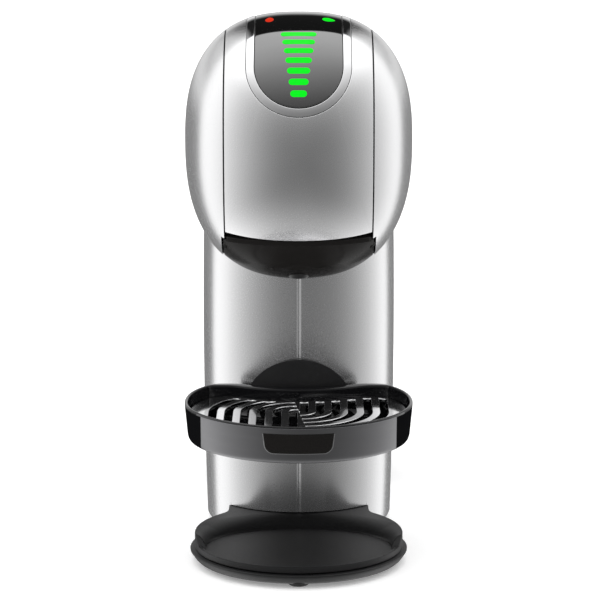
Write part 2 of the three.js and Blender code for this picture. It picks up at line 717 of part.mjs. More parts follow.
// A cylinder square to the sloping top of the head at the power button, between two heights above it.
function buttonCylinder(radius, low, high) {
  const run = 1;
  const slope = Math.atan2(headTop(BUTTON.y) - headTop(BUTTON.y + run), run);
  const geometry = new THREE.CylinderGeometry(radius, radius, high - low, 24);
  geometry.translate(0, (low + high) / 2, 0);
  geometry.rotateX(Math.PI / 2 - slope);
  geometry.translate(0, BUTTON.y, headTop(BUTTON.y));
  return toSolid(geometry);
}

function makePowerButton() {
  return buttonCylinder(BUTTON.radius, -BUTTON.depth, BUTTON.proud);
}

function makeCordGland() {
  const sleeve = rod(GLAND.inner, GLAND.outer, GLAND.y, GLAND.z, GLAND.radius, 16);
  const flange = rod(GLAND.inner, GLAND.inner + 2, GLAND.y, GLAND.z, GLAND.radius + 2, 16);
  return sleeve.add(flange).subtract(rod(0, 80, GLAND.y, GLAND.z, GLAND.bore, 12));
}

// ---- Materials ----

function finish(color, roughness, metalness) {
  return new THREE.MeshStandardMaterial({ color, roughness, metalness });
}

const silver = finish(0xb9b9ba, 0.32, 0.85);
const chrome = finish(0xd8d8d8, 0.12, 1);
const steel = finish(0xa8a9ab, 0.3, 1);
const bandMetal = finish(0x77787a, 0.4, 0.9);
const blackGloss = finish(0x0b0b0c, 0.12, 0);
const blackPlastic = finish(0x161617, 0.45, 0);
const basePlastic = finish(0x2a2a2b, 0.55, 0);
const rubber = finish(0x101010, 0.9, 0);
const smokedTank = finish(0x6c7074, 0.15, 0);
const greenLight = finish(0x12f23c, 0.4, 0);
const redLight = finish(0xe8341c, 0.4, 0);
const aluminium = finish(0xb4b6b8, 0.45, 0.9);
const copper = finish(0x9a5a32, 0.4, 0.8);
const boardGreen = finish(0x1f5a34, 0.6, 0);
const silicone = finish(0xd9dbdc, 0.6, 0);
const whitePlastic = finish(0xdedede, 0.5, 0);

// ---- Assembly ----

const machine = new THREE.Group();

function add(parent, name, shape, material) {
  const geometry = shape instanceof THREE.BufferGeometry ? shape : toGeometry(shape);
  const mesh = new THREE.Mesh(geometry, material);
  mesh.name = name;
  parent.add(mesh);
}

const housing = new THREE.Group();
machine.add(housing);
add(housing, 'base_plate', makeBasePlate(), basePlastic);
add(housing, 'base_dish', makeBaseDish(), basePlastic);
for (const [name, x, y] of footPlaces) {
  add(housing, name, makeFoot(x, y), rubber);
}
add(housing, 'column_shell', makeColumnShell(), silver);
add(housing, 'rear_cover', makeRearCover(), blackPlastic);
add(housing, 'rear_chassis', makeRearChassis(), blackPlastic);
add(housing, 'head_frame', makeHeadFrame(), blackPlastic);
add(housing, 'head_shell_left', makeHeadShell(-1), silver);
add(housing, 'head_shell_right', makeHeadShell(1), silver);
add(housing, 'top_cover', makeTopCover(), silver);
add(housing, 'hinge_pin', rod(-HINGE.pinHalf, HINGE.pinHalf, HINGE.y, HINGE.z, HINGE.pin, 12), steel);
add(housing, 'cord_gland', makeCordGland(), rubber);
add(housing, 'tank_seat', makeTankSeat(), blackPlastic);
add(housing, 'power_button', makePowerButton(), blackGloss);

const brewing = new THREE.Group();
machine.add(brewing);
add(brewing, 'thermoblock', makeThermoblock(), aluminium);
add(brewing, 'pump_body', makePumpBody(), whitePlastic);
add(brewing, 'pump_coil', makePumpCoil(), copper);
add(brewing, 'flow_meter', makeFlowMeter(), whitePlastic);
add(brewing, 'control_board', makeControlBoard(), boardGreen);
add(brewing, 'needle_plate', makeNeedlePlate(), whitePlastic);
add(brewing, 'needle', makeNeedle(), steel);
const pumpTop = PUMP.z + PUMP.length + PUMP.nipple + GAP;
const pumpBottom = PUMP.z - PUMP.nipple + 2 - GAP;
const meterRear = FLOW.y + FLOW.radius + 5 + GAP;
const meterLeft = FLOW.x - FLOW.radius - 5 - GAP;
add(brewing, 'hose_tank', hose([
  [FLOW.x, TANK.frontY - GAP, 9.6], [FLOW.x, 73, 11], [FLOW.x, 62, 20], [FLOW.x, 50, 32],
  [FLOW.x, 40, FLOW.spoutZ], [FLOW.x, meterRear, FLOW.spoutZ],
], HOSE_RADIUS), silicone);
add(brewing, 'hose_pump', hose([
  [meterLeft, FLOW.y, FLOW.spoutZ], [meterLeft - 3, FLOW.y, FLOW.spoutZ], [-4, FLOW.y, 32],
  [-12, FLOW.y, 31], [PUMP.x, PUMP.y, 34.5], [PUMP.x, PUMP.y, pumpBottom],
], HOSE_RADIUS), silicone);
add(brewing, 'hose_heater', hose([
  [PUMP.x, PUMP.y, pumpTop], [PUMP.x, PUMP.y, pumpTop + 4], [PUMP.x, 17, 122], [-8, 28, 144],
  [8, 36, 164], [14, 36, 180], [14, 31, 188], [14, 24.4, 189],
], HOSE_RADIUS), silicone);
add(brewing, 'hose_needle', hose([
  [0, -38.4, 188], [0, -46, 189], [0, -60, 205], [0, -73, 211], [0, -79, 204], [0, -79, 186.6],
], HOSE_RADIUS), silicone);

const visor = new THREE.Group();
machine.add(visor);
add(visor, 'visor_shell', makeVisorShell(), silver);
add(visor, 'trim_ring', makeTrimRing(), chrome);
add(visor, 'touch_panel', makeTouchPanel(), blackGloss);
add(visor, 'panel_board', makePanelBoard(), boardGreen);
for (let number = 0; number < BAR.count; number += 1) {
  add(visor, `level_bar_${number + 1}`, lightLayer.intersect(barTool(number, 0)), greenLight);
}
add(visor, 'icon_hot', lightLayer.intersect(iconTool(-1, 0)), redLight);
add(visor, 'icon_eco', lightLayer.intersect(iconTool(1, 0)), greenLight);

const drawer = new THREE.Group();
machine.add(drawer);
add(drawer, 'capsule_holder', makeCapsuleHolder(), blackPlastic);
add(drawer, 'outlet_nozzle', makeOutletNozzle(), blackPlastic);

const tray = new THREE.Group();
machine.add(tray);
add(tray, 'drip_tray', makeDripTray(), blackGloss);
add(tray, 'tray_band', makeTrayBand(), bandMetal);
add(tray, 'tray_badge', makeTrayBadge(), blackPlastic);
add(tray, 'tray_bracket', makeTrayBracket(), blackPlastic);
add(tray, 'drip_grid', makeDripGrid(), chrome);

const tank = new THREE.Group();
machine.add(tank);
add(tank, 'tank_body', makeTankBody(), smokedTank);
add(tank, 'tank_lid', makeTankLid(), blackPlastic);
add(tank, 'tank_valve', makeTankValve(), whitePlastic);

export default machine;
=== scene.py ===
import math

import bmesh
import bpy
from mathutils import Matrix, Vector


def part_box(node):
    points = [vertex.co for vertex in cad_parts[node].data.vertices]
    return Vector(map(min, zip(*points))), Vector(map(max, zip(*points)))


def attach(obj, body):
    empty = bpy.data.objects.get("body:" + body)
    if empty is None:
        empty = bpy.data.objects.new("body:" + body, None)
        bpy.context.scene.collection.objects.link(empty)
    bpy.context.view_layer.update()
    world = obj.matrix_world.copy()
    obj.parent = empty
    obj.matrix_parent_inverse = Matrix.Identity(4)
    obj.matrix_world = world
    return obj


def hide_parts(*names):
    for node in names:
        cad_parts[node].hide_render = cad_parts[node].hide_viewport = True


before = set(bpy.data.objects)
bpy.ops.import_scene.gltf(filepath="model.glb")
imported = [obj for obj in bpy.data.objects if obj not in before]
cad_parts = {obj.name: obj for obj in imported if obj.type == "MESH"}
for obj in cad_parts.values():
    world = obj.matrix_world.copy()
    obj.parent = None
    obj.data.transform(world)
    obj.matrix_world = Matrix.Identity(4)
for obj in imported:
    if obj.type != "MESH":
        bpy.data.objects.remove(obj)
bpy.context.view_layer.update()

# Lengths are in millimetres and become metres in add_mesh. +Z is up, -Y is the user's side.
MM = 0.001


def low(node):
    return [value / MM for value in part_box(node)[0]]


def high(node):
    return [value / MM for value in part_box(node)[1]]


# ---- Sizes taken from the frame, and the formulas' own numbers ----

HALF_WIDTH = high("head_shell_right")[0]
HEAD_Z, HEAD_UP, HEAD_DOWN = 208.0, 63.5, 69.0
TOP_POWER, LOW_POWER = 2.55, 2.45
DOME_Y = -60.0
DOME_DEPTH = DOME_Y - low("visor_shell")[1]
SHOULDER_Y, BACK_Y, BACK_POWER = 62.0, high("top_cover")[1], 3.5
REAR_DROP, DROP_POWER = 24.0, 1.6
QUARTER = DOME_DEPTH * math.pi / 2
SHOULDER_S = QUARTER + SHOULDER_Y - DOME_Y
REAR_LENGTH, REAR_EASE = 60.0, 1.75

SEAM_EASE = 0.2
VISOR_HALF = high("visor_shell")[0] + SEAM_EASE
SIDE_START = low("head_shell_right")[0] - SEAM_EASE
COVER_FRONT = low("top_cover")[1]
WALL = 2.4
HINGE_Y, HINGE_Z = 5.0, (low("hinge_pin")[2] + high("hinge_pin")[2]) / 2
HINGE_TILT = math.radians(10)

PANEL_HALF = high("touch_panel")[0] + 0.15
PANEL_Z, PANEL_ARC = 248.6, 18.6
PANEL_REAR = high("touch_panel")[1] + 0.15
RIM_WIDTH = 4.0

COLUMN_HALF, COLUMN_WAIST_Z, COLUMN_WAIST = 50.1, 105.0, 0.00016
COLUMN_FRONT = -low("column_shell")[1]
COLUMN_BOTTOM = low("column_shell")[2]
COLUMN_END = high("column_shell")[1]
COLUMN_TOP = high("column_shell")[2]
NECK_HALF = 36.3
DECK_Z = high("base_dish")[2]

TRAY_Y = -84.0
TRAY_HALF = high("drip_tray")[0]
TRAY_FRONT = TRAY_Y - low("drip_tray")[1]
TRAY_BACK = -43.0
TRAY_BAY = 53.0
TRAY_RIM, TRAY_BOTTOM = high("drip_tray")[2], low("drip_tray")[2]
GRID_TOP = high("drip_grid")[2]

BASE_Y = -84.0
BASE_RADIUS = high("base_plate")[0]
DISH_RADIUS = high("base_dish")[0]


# ---- Mesh helpers ----

def add_mesh(name, points, faces, smooth=True):
    mesh = bpy.data.meshes.new(name)
    mesh.from_pydata([Vector(p) * MM for p in points], [], faces)
    mesh.validate()
    mesh.polygons.foreach_set("use_smooth", [smooth] * len(mesh.polygons))
    obj = bpy.data.objects.new(name, mesh)
    bpy.context.scene.collection.objects.link(obj)
    return obj


def grid_faces(rows, columns, closed):
    faces = []
    for r in range(rows - 1):
        for c in range(columns if closed else columns - 1):
            n = (c + 1) % columns
            faces.append((r * columns + c, r * columns + n, (r + 1) * columns + n, (r + 1) * columns + c))
    return faces


def orient(obj, inside):
    """Turns the faces so that they look away from the point inside, in millimetres."""
    centre = Vector(inside) * MM
    mesh = obj.data
    outward = sum(p.area * p.normal.dot((p.center - centre).normalized()) for p in mesh.polygons)
    if outward < 0:
        mesh.flip_normals()


def merge_close(obj, distance=0.01):
    work = bmesh.new()
    work.from_mesh(obj.data)
    bmesh.ops.remove_doubles(work, verts=work.verts, dist=distance * MM)
    bmesh.ops.dissolve_degenerate(work, edges=work.edges, dist=distance * MM / 2)
    work.to_mesh(obj.data)
    work.free()


def sheet_mesh(name, rows, inside, closed=False):
    """An open surface over rows of equally many points, facing away from inside."""
    columns = len(rows[0])
    points = [p for row in rows for p in row]
    obj = add_mesh(name, points, grid_faces(len(rows), columns, closed))
    merge_close(obj)
    orient(obj, inside)
    return obj


def ring_body(name, rings, inside=None):
    """A closed body over closed rings, with a flat cap at each end."""
    columns = len(rings[0])
    points = [p for ring in rings for p in ring]
    faces = grid_faces(len(rings), columns, True)
    faces.append(tuple(range(columns))[::-1])
    faces.append(tuple(range(len(points) - columns, len(points))))
    obj = add_mesh(name, points, faces)
    work = bmesh.new()
    work.from_mesh(obj.data)
    bmesh.ops.remove_doubles(work, verts=work.verts, dist=0.001 * MM)
    bmesh.ops.recalc_face_normals(work, faces=work.faces)
    work.to_mesh(obj.data)
    work.free()
    return obj


def add_bevel(obj, width, segments=3, angle=35):
    bevel = obj.modifiers.new("edges", "BEVEL")
    bevel.width = width * MM
    bevel.segments = segments
    bevel.limit_method = "ANGLE"
    bevel.angle_limit = math.radians(angle)
    bevel.harden_normals = False
    weighted = obj.modifiers.new("normals", "WEIGHTED_NORMAL")
    weighted.keep_sharp = False
    weighted.weight = 80


def thicken(obj, thickness=WALL, bevel=0.35, inner_slot=None):
    solid = obj.modifiers.new("wall", "SOLIDIFY")
    solid.thickness = thickness * MM
    solid.offset = -1
    solid.use_even_offset = True
    if inner_slot is not None:
        solid.material_offset = inner_slot
    if bevel:
        add_bevel(obj, bevel, angle=50)


def lathe(name, profile, x, y, segments=64):
    """A body turned about a vertical axis from [radius, z] points that start and end on the axis."""
    rings = []
    for radius, z in profile:
        ring = []
        for i in range(segments):
            angle = 2 * math.pi * i / segments
            ring.append((x + radius * math.cos(angle), y + radius * math.sin(angle), z))
        rings.append(ring)
    return ring_body(name, rings)


def lerp(a, b, t):
    return a + (b - a) * t


def spread(start, end, steps):
    return [lerp(start, end, i / steps) for i in range(steps + 1)]


def resample(path, count):
    """count points at even spacing along a path of (u, v) points, without its last point."""
    lengths = [0.0]
    for a, b in zip(path, path[1:]):
        lengths.append(lengths[-1] + math.hypot(b[0] - a[0], b[1] - a[1]))
    result = []
    index = 0
    for i in range(count):
        target = lengths[-1] * i / count
        while lengths[index + 1] < target:
            index += 1
        span = lengths[index + 1] - lengths[index]
        part = (target - lengths[index]) / span if span else 0
        a, b = path[index], path[index + 1]
        result.append((lerp(a[0], b[0], part), lerp(a[1], b[1], part)))
    return result


def piece(obj, body, slot, materials, *nodes):
    for material in materials:
        obj.data.materials.append(material)
    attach(obj, body)
    if nodes:
        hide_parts(*nodes)
    return obj


# ---- Materials ----

def new_material(name):
    material = bpy.data.materials.new(name)
    material.use_nodes = True
    nodes = material.node_tree.nodes
    return material, nodes, material.node_tree.links, nodes["Principled BSDF"]


def set_shader(shader, **values):
    for key, value in values.items():
        shader.inputs[key.replace("_", " ")].default_value = value


def coordinates(nodes, links, scale=(1, 1, 1)):
    source = nodes.new("ShaderNodeTexCoord")
    mapping = nodes.new("ShaderNodeMapping")
    mapping.inputs["Scale"].default_value = scale
    links.new(source.outputs["Object"], mapping.inputs["Vector"])
    return mapping.outputs["Vector"]


def noise(nodes, links, vector, scale, detail=3.0):
    node = nodes.new("ShaderNodeTexNoise")
    node.inputs["Scale"].default_value = scale
    node.inputs["Detail"].default_value = detail
    links.new(vector, node.inputs["Vector"])
    return node.outputs["Fac"]


def ranged(nodes, links, value, low_value, high_value, start=0.3, end=0.7):
    node = nodes.new("ShaderNodeMapRange")
    node.inputs["From Min"].default_value = start
    node.inputs["From Max"].default_value = end
    node.inputs["To Min"].default_value = low_value
    node.inputs["To Max"].default_value = high_value
    links.new(value, node.inputs["Value"])
    return node.outputs["Result"]


def tinted(nodes, links, value, dark, light):
    node = nodes.new("ShaderNodeMix")
    node.data_type = "RGBA"
    node.inputs["A"].default_value = (*dark, 1)
    node.inputs["B"].default_value = (*light, 1)
    links.new(value, node.inputs["Factor"])
    return node.outputs["Result"]


def bump(nodes, links, shader, height, strength, distance):
    node = nodes.new("ShaderNodeBump")
    node.inputs["Strength"].default_value = strength
    node.inputs["Distance"].default_value = distance * MM
    links.new(height, node.inputs["Height"])
    links.new(node.outputs["Normal"], shader.inputs["Normal"])


def plain_surface(name, dark, light, rough, metallic=0.0, grain=900.0, depth=0.02, strength=0.25, stretch=(1, 1, 1),
                  **values):
    """Colour, roughness and fine relief that all vary with two scales of noise."""
    material, nodes, links, shader = new_material(name)
    vector = coordinates(nodes, links, stretch)
    broad = noise(nodes, links, vector, 25.0)
    fine = noise(nodes, links, vector, grain, 2.0)
    links.new(tinted(nodes, links, broad, dark, light), shader.inputs["Base Color"])
    links.new(ranged(nodes, links, fine, rough[0], rough[1]), shader.inputs["Roughness"])
    bump(nodes, links, shader, fine, strength, depth)
    set_shader(shader, Metallic=metallic, **values)
    return material


def silver_paint():
    """Satin silver paint with fine metallic flake."""
    return plain_surface("silver_paint", (0.61, 0.61, 0.615), (0.63, 0.63, 0.635), (0.24, 0.28), metallic=1.0,
                         grain=2600.0, depth=0.002, strength=0.01)


def polished_metal():
    return plain_surface("polished_metal", (0.80, 0.80, 0.81), (0.86, 0.86, 0.87), (0.07, 0.11), metallic=1.0,
                         grain=1400.0, depth=0.002, strength=0.06)


def trim_metal():
    return plain_surface("trim_metal", (0.50, 0.50, 0.505), (0.54, 0.54, 0.545), (0.07, 0.10), metallic=1.0,
                         grain=1800.0, depth=0.002, strength=0.02)


def band_metal():
    return plain_surface("band_metal", (0.165, 0.165, 0.17), (0.185, 0.185, 0.19), (0.30, 0.38), metallic=1.0,
                         grain=500.0, depth=0.004, strength=0.15, stretch=(1, 1, 14))


def ground_steel():
    return plain_surface("ground_steel", (0.5, 0.5, 0.5), (0.6, 0.6, 0.6), (0.25, 0.4), metallic=1.0,
                         grain=700.0, depth=0.01, stretch=(0.1, 1, 1))


def cast_aluminium():
    return plain_surface("cast_aluminium", (0.48, 0.49, 0.5), (0.6, 0.6, 0.61), (0.42, 0.6), metallic=1.0,
                         grain=500.0, depth=0.08, strength=0.5)


def copper_winding():
    return plain_surface("copper_winding", (0.35, 0.12, 0.04), (0.55, 0.22, 0.08), (0.3, 0.45), metallic=1.0,
                         grain=260.0, depth=0.25, strength=0.7, stretch=(0.2, 0.2, 9))


def gloss_black():
    return plain_surface("gloss_black", (0.006, 0.006, 0.007), (0.009, 0.009, 0.010), (0.05, 0.09),
                         grain=300.0, depth=0.004, strength=0.03, Specular_IOR_Level=0.35)


def shaded_gloss_black():
    """Painted shade: a darker copy of the polished black with its reflection taken out, for the tray's outer walls."""
    return plain_surface("shaded_gloss_black", (0.003, 0.003, 0.0035), (0.006, 0.006, 0.0065), (0.10, 0.16),
                         grain=300.0, depth=0.004, strength=0.05, Specular_IOR_Level=0.0)


def drawer_black():
    return plain_surface("drawer_black", (0.009, 0.0085, 0.008), (0.013, 0.012, 0.0115), (0.20, 0.26),
                         grain=1500.0, depth=0.01, strength=0.1, Specular_IOR_Level=0.02)


def frame_grey():
    return plain_surface("frame_grey", (0.34, 0.34, 0.345), (0.38, 0.38, 0.385), (0.20, 0.28), metallic=1.0,
                         grain=900.0, depth=0.004, strength=0.1)


def satin_black():
    return plain_surface("satin_black", (0.010, 0.010, 0.0105), (0.017, 0.017, 0.018), (0.30, 0.40),
                         grain=1500.0, depth=0.02, strength=0.3)


def base_plastic():
    return plain_surface("base_plastic", (0.007, 0.007, 0.0074), (0.011, 0.011, 0.0115), (0.42, 0.52),
                         grain=2200.0, depth=0.03, strength=0.35, Specular_IOR_Level=0.3)


def rubber():
    return plain_surface("rubber", (0.012, 0.012, 0.012), (0.02, 0.02, 0.02), (0.7, 0.85),
                         grain=1800.0, depth=0.03, strength=0.4)


def white_plastic():
    return plain_surface("white_plastic", (0.68, 0.68, 0.66), (0.75, 0.75, 0.74), (0.35, 0.45),
                         grain=1200.0, depth=0.02, strength=0.2)


def silicone():
    return plain_surface("silicone", (0.6, 0.62, 0.63), (0.72, 0.74, 0.75), (0.35, 0.5),
                         grain=900.0, depth=0.02, Transmission_Weight=0.35, Subsurface_Weight=0.1)


def board_green():
    return plain_surface("board_green", (0.008, 0.06, 0.02), (0.02, 0.13, 0.05), (0.25, 0.4),
                         grain=420.0, depth=0.04, strength=0.4)


def smoked_plastic():
    return plain_surface("smoked_plastic", (0.50, 0.52, 0.54), (0.56, 0.58, 0.60), (0.04, 0.09),
                         grain=300.0, depth=0.004, strength=0.05, Transmission_Weight=0.9, IOR=1.49)


def panel_glass():
    return plain_surface("panel_glass", (0.003, 0.003, 0.003), (0.005, 0.005, 0.005), (0.03, 0.05),
                         grain=300.0, depth=0.002, strength=0.02, IOR=2.0)


def lit(name, colour, strength):
    """A lit window under the same glossy face as the panel, with a little unevenness in the light."""
    material, nodes, links, shader = new_material(name)
    vector = coordinates(nodes, links)
    fine = noise(nodes, links, vector, 700.0, 2.0)
    darker = tuple(value * 0.85 for value in colour)
    links.new(tinted(nodes, links, fine, darker, colour), shader.inputs["Emission Color"])
    links.new(ranged(nodes, links, fine, 0.04, 0.08), shader.inputs["Roughness"])
    set_shader(shader, Base_Color=(0.002, 0.004, 0.002, 1), Emission_Strength=strength, Specular_IOR_Level=0.05)
    return material


SILVER = silver_paint()
POLISHED = polished_metal()
TRIM = trim_metal()
BAND = band_metal()
STEEL = ground_steel()
ALUMINIUM = cast_aluminium()
COPPER = copper_winding()
GLOSS = gloss_black()
SHADED_GLOSS = shaded_gloss_black()
DRAWER = drawer_black()
FRAME = frame_grey()
BLACK = satin_black()
BASE = base_plastic()
RUBBER = rubber()
WHITE = white_plastic()
SILICONE = silicone()
BOARD = board_green()
SMOKED = smoked_plastic()
PANEL_GLASS = panel_glass()
GREEN = lit("green_light", (0.0, 1.0, 0.015), 1.0)
RED = lit("red_light", (0.8, 0.03, 0.008), 1.0)


# ---- Head: one formula for its skin ----

def head_drop(y):
    along = max(0.0, y - DOME_Y) / (BACK_Y - DOME_Y)
    return REAR_DROP * along ** DROP_POWER


def half_height(x, y, above):
    """How far the skin is above or below mid height, where the sections have their full size."""
    if above:
        return (HEAD_UP - head_drop(y)) * (1 - (abs(x) / HALF_WIDTH) ** TOP_POWER) ** (1 / TOP_POWER)
    return HEAD_DOWN * (1 - (abs(x) / HALF_WIDTH) ** LOW_POWER) ** (1 / LOW_POWER)


def section_scale(x, rise, power):
    share = (abs(x) / HALF_WIDTH) ** power
    return min(1.0, (share + (1 - share) * rise ** power) ** (1 / power))


def front_point(x, s):
    turn = s / DOME_DEPTH
    above = s >= 0
    rise = abs(math.sin(turn))
    scale = section_scale(x, rise, TOP_POWER if above else LOW_POWER)
    y = DOME_Y - DOME_DEPTH * math.sqrt(max(0.0, 1 - scale * scale))
    height = half_height(x, DOME_Y, above) * rise
    return Vector((x, y, HEAD_Z + (height if above else -height)))


def rear_point(x, s):
    along = (s - SHOULDER_S) / REAR_LENGTH
    above = along <= 1
    turn = math.pi / 2 * (1 - (along if above else 2 - along) ** REAR_EASE)
    rise = math.sin(turn)
    scale = section_scale(x, rise, TOP_POWER if above else LOW_POWER)
    y = SHOULDER_Y + (BACK_Y - SHOULDER_Y) * (1 - scale ** BACK_POWER) ** (1 / BACK_POWER)
    height = half_height(x, y, above) * rise
    return Vector((x, y, HEAD_Z + (height if above else -height)))


def head_point(x, s):
    """The skin on the profile at x. s runs from -QUARTER under the chin over the front to the rear."""
    if s < -QUARTER:
        return Vector((x, DOME_Y - QUARTER - s, HEAD_Z - half_height(x, DOME_Y, False)))
    if s < QUARTER:
        return front_point(x, s)
    if s < SHOULDER_S:
        y = DOME_Y + s - QUARTER
        return Vector((x, y, HEAD_Z + half_height(x, y, True)))
    return rear_point(x, s)


HINGE_S = QUARTER + HINGE_Y - DOME_Y


def visor_point(x, s):
    """The head's skin as far as the hinge, then a lip that curls down behind the hinge pin."""
    if s <= HINGE_S:
        return head_point(x, s)
    top = HEAD_Z + half_height(x, HINGE_Y, True)
    radius = (top - HINGE_Z) / math.cos(HINGE_TILT)
    turn = (s - HINGE_S) / 15.8 + HINGE_TILT
    return Vector((x, HINGE_Y + radius * (math.sin(turn) - math.sin(HINGE_TILT)), HINGE_Z + radius * math.cos(turn)))


def lifted(chart, x, s, height):
    """A point at that height above the skin."""
    step = 0.05
    point = chart(x, s)
    across = chart(x + step, s) - chart(x - step, s)
    along = chart(x, s + step) - chart(x, s - step)
    normal = across.cross(along).normalized()
    return point + normal * height


def s_at(x, z):
    """Where the front profile at x reaches height z."""
    above = z >= HEAD_Z
    reach = half_height(x, DOME_Y, above)
    angle = math.asin(max(-1.0, min(1.0, (z - HEAD_Z) / reach)))
    return angle * DOME_DEPTH


INSIDE_HEAD = (0, -10, 205)


# ---- Panel outline on the head, as four runs of (x, s) points ----

def panel_runs(grow, counts):
    """The U and its closed rear end, from the lower left of the arc round to the start again."""
    half, arc = PANEL_HALF + grow, PANEL_ARC + grow
    rear = QUARTER + PANEL_REAR + grow - DOME_Y
    corner = 2.5 + grow

    def on_arc(degrees):
        angle = math.radians(degrees)
        x = half * math.cos(angle)
        return (x, s_at(x, PANEL_Z + arc * math.sin(angle)))

    def on_corner(side, degrees):
        angle = math.radians(degrees)
        return (side * (half - corner) + corner * math.cos(angle), rear - corner + corner * math.sin(angle))

    bottom = [on_arc(d) for d in spread(225, 315, 60)]
    right = [on_arc(d) for d in spread(315, 360, 40)] + [(half, rear - corner)] \
        + [on_corner(1, d) for d in spread(0, 45, 8)]
    back = [on_corner(1, d) for d in spread(45, 90, 8)] + [on_corner(-1, d) for d in spread(90, 135, 8)]
    left = [(-x, s) for x, s in reversed(right)]
    points = []
    for run, count in zip((bottom, right, back, left), counts):
        points += resample(run, count)
    return points


def between(chart, inner, outer, steps, lift=None):
    """Rows of points from one closed (x, s) outline to another, on a chart."""
    rows = []
    for i in range(steps + 1):
        t = i / steps
        height = lift(t) if lift else 0
        row = []
        for a, b in zip(inner, outer):
            x, s = lerp(a[0], b[0], t), lerp(a[1], b[1], t)
            row.append(lifted(chart, x, s, height) if height else chart(x, s))
        rows.append(row)
    return rows


def filled(chart, outline, spine, steps, lift=0.0):
    """Rows from a closed (x, s) outline in to a spine, which closes the surface."""
    inner = [spine(x, s) for x, s in outline]
    rows = []
    for i in range(steps + 1):
        t = i / steps
        rows.append([lifted(chart, lerp(a[0], b[0], t), lerp(a[1], b[1], t), lift)
                     for a, b in zip(outline, inner)])
    return rows


PANEL_COUNTS = (64, 56, 44, 56)


def visor_bottom(x):
    """The visor's lower edge sags a little towards the middle."""
    return s_at(x, low("visor_shell")[2] + 1.3 - 2.5 * (1 - (x / VISOR_HALF) ** 2))


def make_visor():
    rear = HINGE_S + 21
    runs = (
        [(x, visor_bottom(x)) for x in spread(-VISOR_HALF, VISOR_HALF, 80)],
        [(VISOR_HALF, s) for s in spread(visor_bottom(VISOR_HALF), rear, 80)],
        [(x, rear) for x in spread(VISOR_HALF, -VISOR_HALF, 40)],
        [(-VISOR_HALF, s) for s in spread(rear, visor_bottom(VISOR_HALF), 80)],
    )
    outer = []
    for run, count in zip(runs, PANEL_COUNTS):
        outer += resample(run, count)
    inner = panel_runs(RIM_WIDTH + 0.2, PANEL_COUNTS)
    obj = sheet_mesh("visor", between(visor_point, inner, outer, 36), INSIDE_HEAD, closed=True)
    thicken(obj, inner_slot=1)
    return piece(obj, "visor", "silver", (SILVER, BLACK), "visor_shell")


def make_trim_ring():
    inner = panel_runs(0.1, PANEL_COUNTS)
    outer = panel_runs(RIM_WIDTH, PANEL_COUNTS)
    rows = between(head_point, inner, outer, 10, lambda t: 0.04 + 0.05 * math.sin(math.pi * t))
    obj = sheet_mesh("panel_trim", rows, INSIDE_HEAD, closed=True)
    thicken(obj, 2.6, 0.25)
    return piece(obj, "visor", "trim", (TRIM,), "trim_ring")


def make_touch_panel():
    outline = panel_runs(-0.1, PANEL_COUNTS)
    start = s_at(0, PANEL_Z) + 2
    end = QUARTER + PANEL_REAR - DOME_Y - PANEL_HALF + 4
    rows = filled(head_point, outline, lambda x, s: (0.0, min(max(s, start), end)), 24, -0.15)
    obj = sheet_mesh("panel_glass", rows, INSIDE_HEAD, closed=True)
    thicken(obj, 2.4, 0.25)
    return piece(obj, "visor", "black_gloss", (PANEL_GLASS,), "touch_panel")


def stadium(centre_s, half, radius, steps=14):
    points = []
    for side, start in ((1, -90), (-1, 90)):
        for degrees in spread(start, start + 180, steps):
            angle = math.radians(degrees)
            points.append((side * half + radius * math.cos(angle), centre_s + radius * math.sin(angle)))
    return points


def make_level_bars():
    for number in range(7):
        node = f"level_bar_{number + 1}"
        half_length = (high(node)[0] - low(node)[0]) / 2
        radius = 1.72
        s = math.radians(26.9 + 5.52 * number) * DOME_DEPTH
        straight = half_length - radius
        outline = stadium(s, straight, radius)
        rows = filled(head_point, outline, lambda x, t, c=s, h=straight: (min(max(x, -h), h), c), 5, 0.02)
        obj = sheet_mesh(f"light_bar_{number + 1}", rows, INSIDE_HEAD, closed=True)
        thicken(obj, 0.6, 0.12)
        piece(obj, "visor", "green_light", (GREEN,), node)


def icon(name, outline, centre, material, slot, node):
    points = [(centre[0] + u, centre[1] + v) for u, v in outline]
    rows = filled(head_point, points, lambda x, s: centre, 6, 0.02)
    obj = sheet_mesh(name, rows, INSIDE_HEAD, closed=True)
    thicken(obj, 0.6, 0.1)
    piece(obj, "visor", slot, (material,), node)


def make_icons():
    """A drop for hot water and a leaf for the saving mode, both plain generic shapes."""
    s = math.radians(75.5) * DOME_DEPTH
    drop, leaf = [], []
    for i in range(40):
        angle = 2 * math.pi * i / 40
        point = 0.5 * (1 + math.cos(angle - math.pi / 2))
        drop.append(((2.0 + 0.3 * point) * math.cos(angle) * (1 - 0.55 * point ** 3), 3.2 * math.sin(angle)))
        tip = 0.5 * (1 + math.cos(angle))
        leaf.append((3.1 * math.cos(angle), 2.6 * math.sin(angle) * (1 - 0.6 * tip ** 3)))
    icon("icon_drop", drop, (-14.2, s), RED, "red_light", "icon_hot")
    icon("icon_leaf", leaf, (14.6, s), GREEN, "green_light", "icon_eco")


SHELL_STEP_Z, SHELL_STEP = 163.4, 1.5


